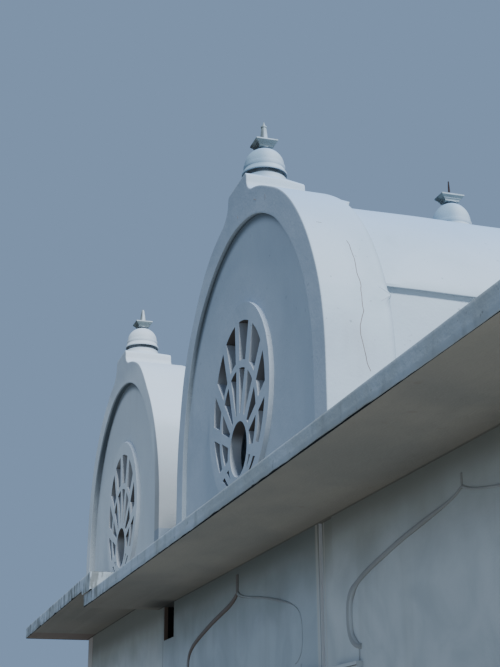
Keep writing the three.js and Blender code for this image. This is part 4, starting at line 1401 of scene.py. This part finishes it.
def relief_arch(side, number):
    node = f"{side}_relief_arch_{number}"
    low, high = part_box(node)
    axis = (low.x + high.x) / 2
    def at(aside, drop):
        return Vector((axis + aside, 0, soffit - drop))
    def run(points, hand=1, narrower=1.0, sag=0.0):
        places = [at(hand * x * narrower, drop + sag * min(1, abs(x) / 0.4)) for x, drop in points]
        return [(place, along(WIDTHS[number], place.x - axis)) for place in rounded_run(places)]
    left_half, right_half = (FAR_LEFT, FAR_RIGHT) if number == 1 else ({}, {})
    arch = run(OGEE_HALF, **left_half) + run(OGEE_HALF, -1, **right_half)[-2::-1]
    spike = run([(0, drop) for drop in steps(SPIKE_TOPS[number], SPIKE_FOOT, 5)])
    stems = [[(at(x, drop), STEM_SHARE) for drop in STEM_DROPS] for x in (-STEM_X, STEM_X)]
    mesh = bead_tree.run(moulding_path(f"{node}_path", [arch, spike, *stems]))
    if side == "rear":
        mesh.transform(Matrix.Diagonal((1, -1, 1, 1)))
    mesh.transform(Matrix.Translation((0, high.y if side == "front" else low.y, 0)))
    piece = add(f"{node}_bead", mesh)
    return keep_piece(piece, finish=relief_paint, slot="wall_plaster", stands_for=[node], sharp=60)

reliefs = [relief_arch(side, number) for side in ("front", "rear") for number in (1, 2)]
print("relief arches:", len(reliefs), "with", len(reliefs[0].data.polygons), "faces each")

# %% [markdown]
# Under each curled foot sits a capital: a thin ledge over a quarter-round that dies back
# into the wall. Its profile is drawn in depth and height and run along the wall.

# %% Capitals
CAPITAL_DROP = 1.735
CAPITAL_WIDTH = 0.790
CAPITAL_HEIGHT = 0.120
CAPITAL_RELIEF = 0.080
LEDGE = [(-0.090, 0), (-0.004, 0), (0, -0.005), (0, -0.040), (-0.004, -0.045), (-0.012, -0.047)]

def capital_profile():
    """Places as metres out from the wall and height from the capital's top."""
    profile = [(CAPITAL_RELIEF + back, z) for back, z in LEDGE]
    for turn in steps(0, math.pi / 2, 7):
        out = (CAPITAL_RELIEF - 0.014) * math.cos(turn)
        profile.append((out, -0.050 - (CAPITAL_HEIGHT - 0.05) * math.sin(turn)))
    return profile + [(-0.01, -CAPITAL_HEIGHT)]

def capital(side, number, end):
    low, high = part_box(f"{side}_relief_arch_{number}")
    face, out = (high.y, -1) if side == "front" else (low.y, 1)
    top = soffit - CAPITAL_DROP
    start = low.x if end == "left" else high.x - CAPITAL_WIDTH
    rings = []
    for x in steps(start, start + CAPITAL_WIDTH, 9):
        places = [(x, face + out * depth, top + z) for depth, z in capital_profile()]
        rings.append([uneven(place, 0.003, 0.4) for place in places])
    return loft(f"{side}_capital_{number}_{end}", rings, finish=wall_paint, slot="wall_plaster")

feet = [(side, number, end) for side in ("front", "rear") for number in (1, 2) for end in ("left", "right")]
for side, number, end in feet:
    capital(side, number, end)
print("capitals:", len(feet))
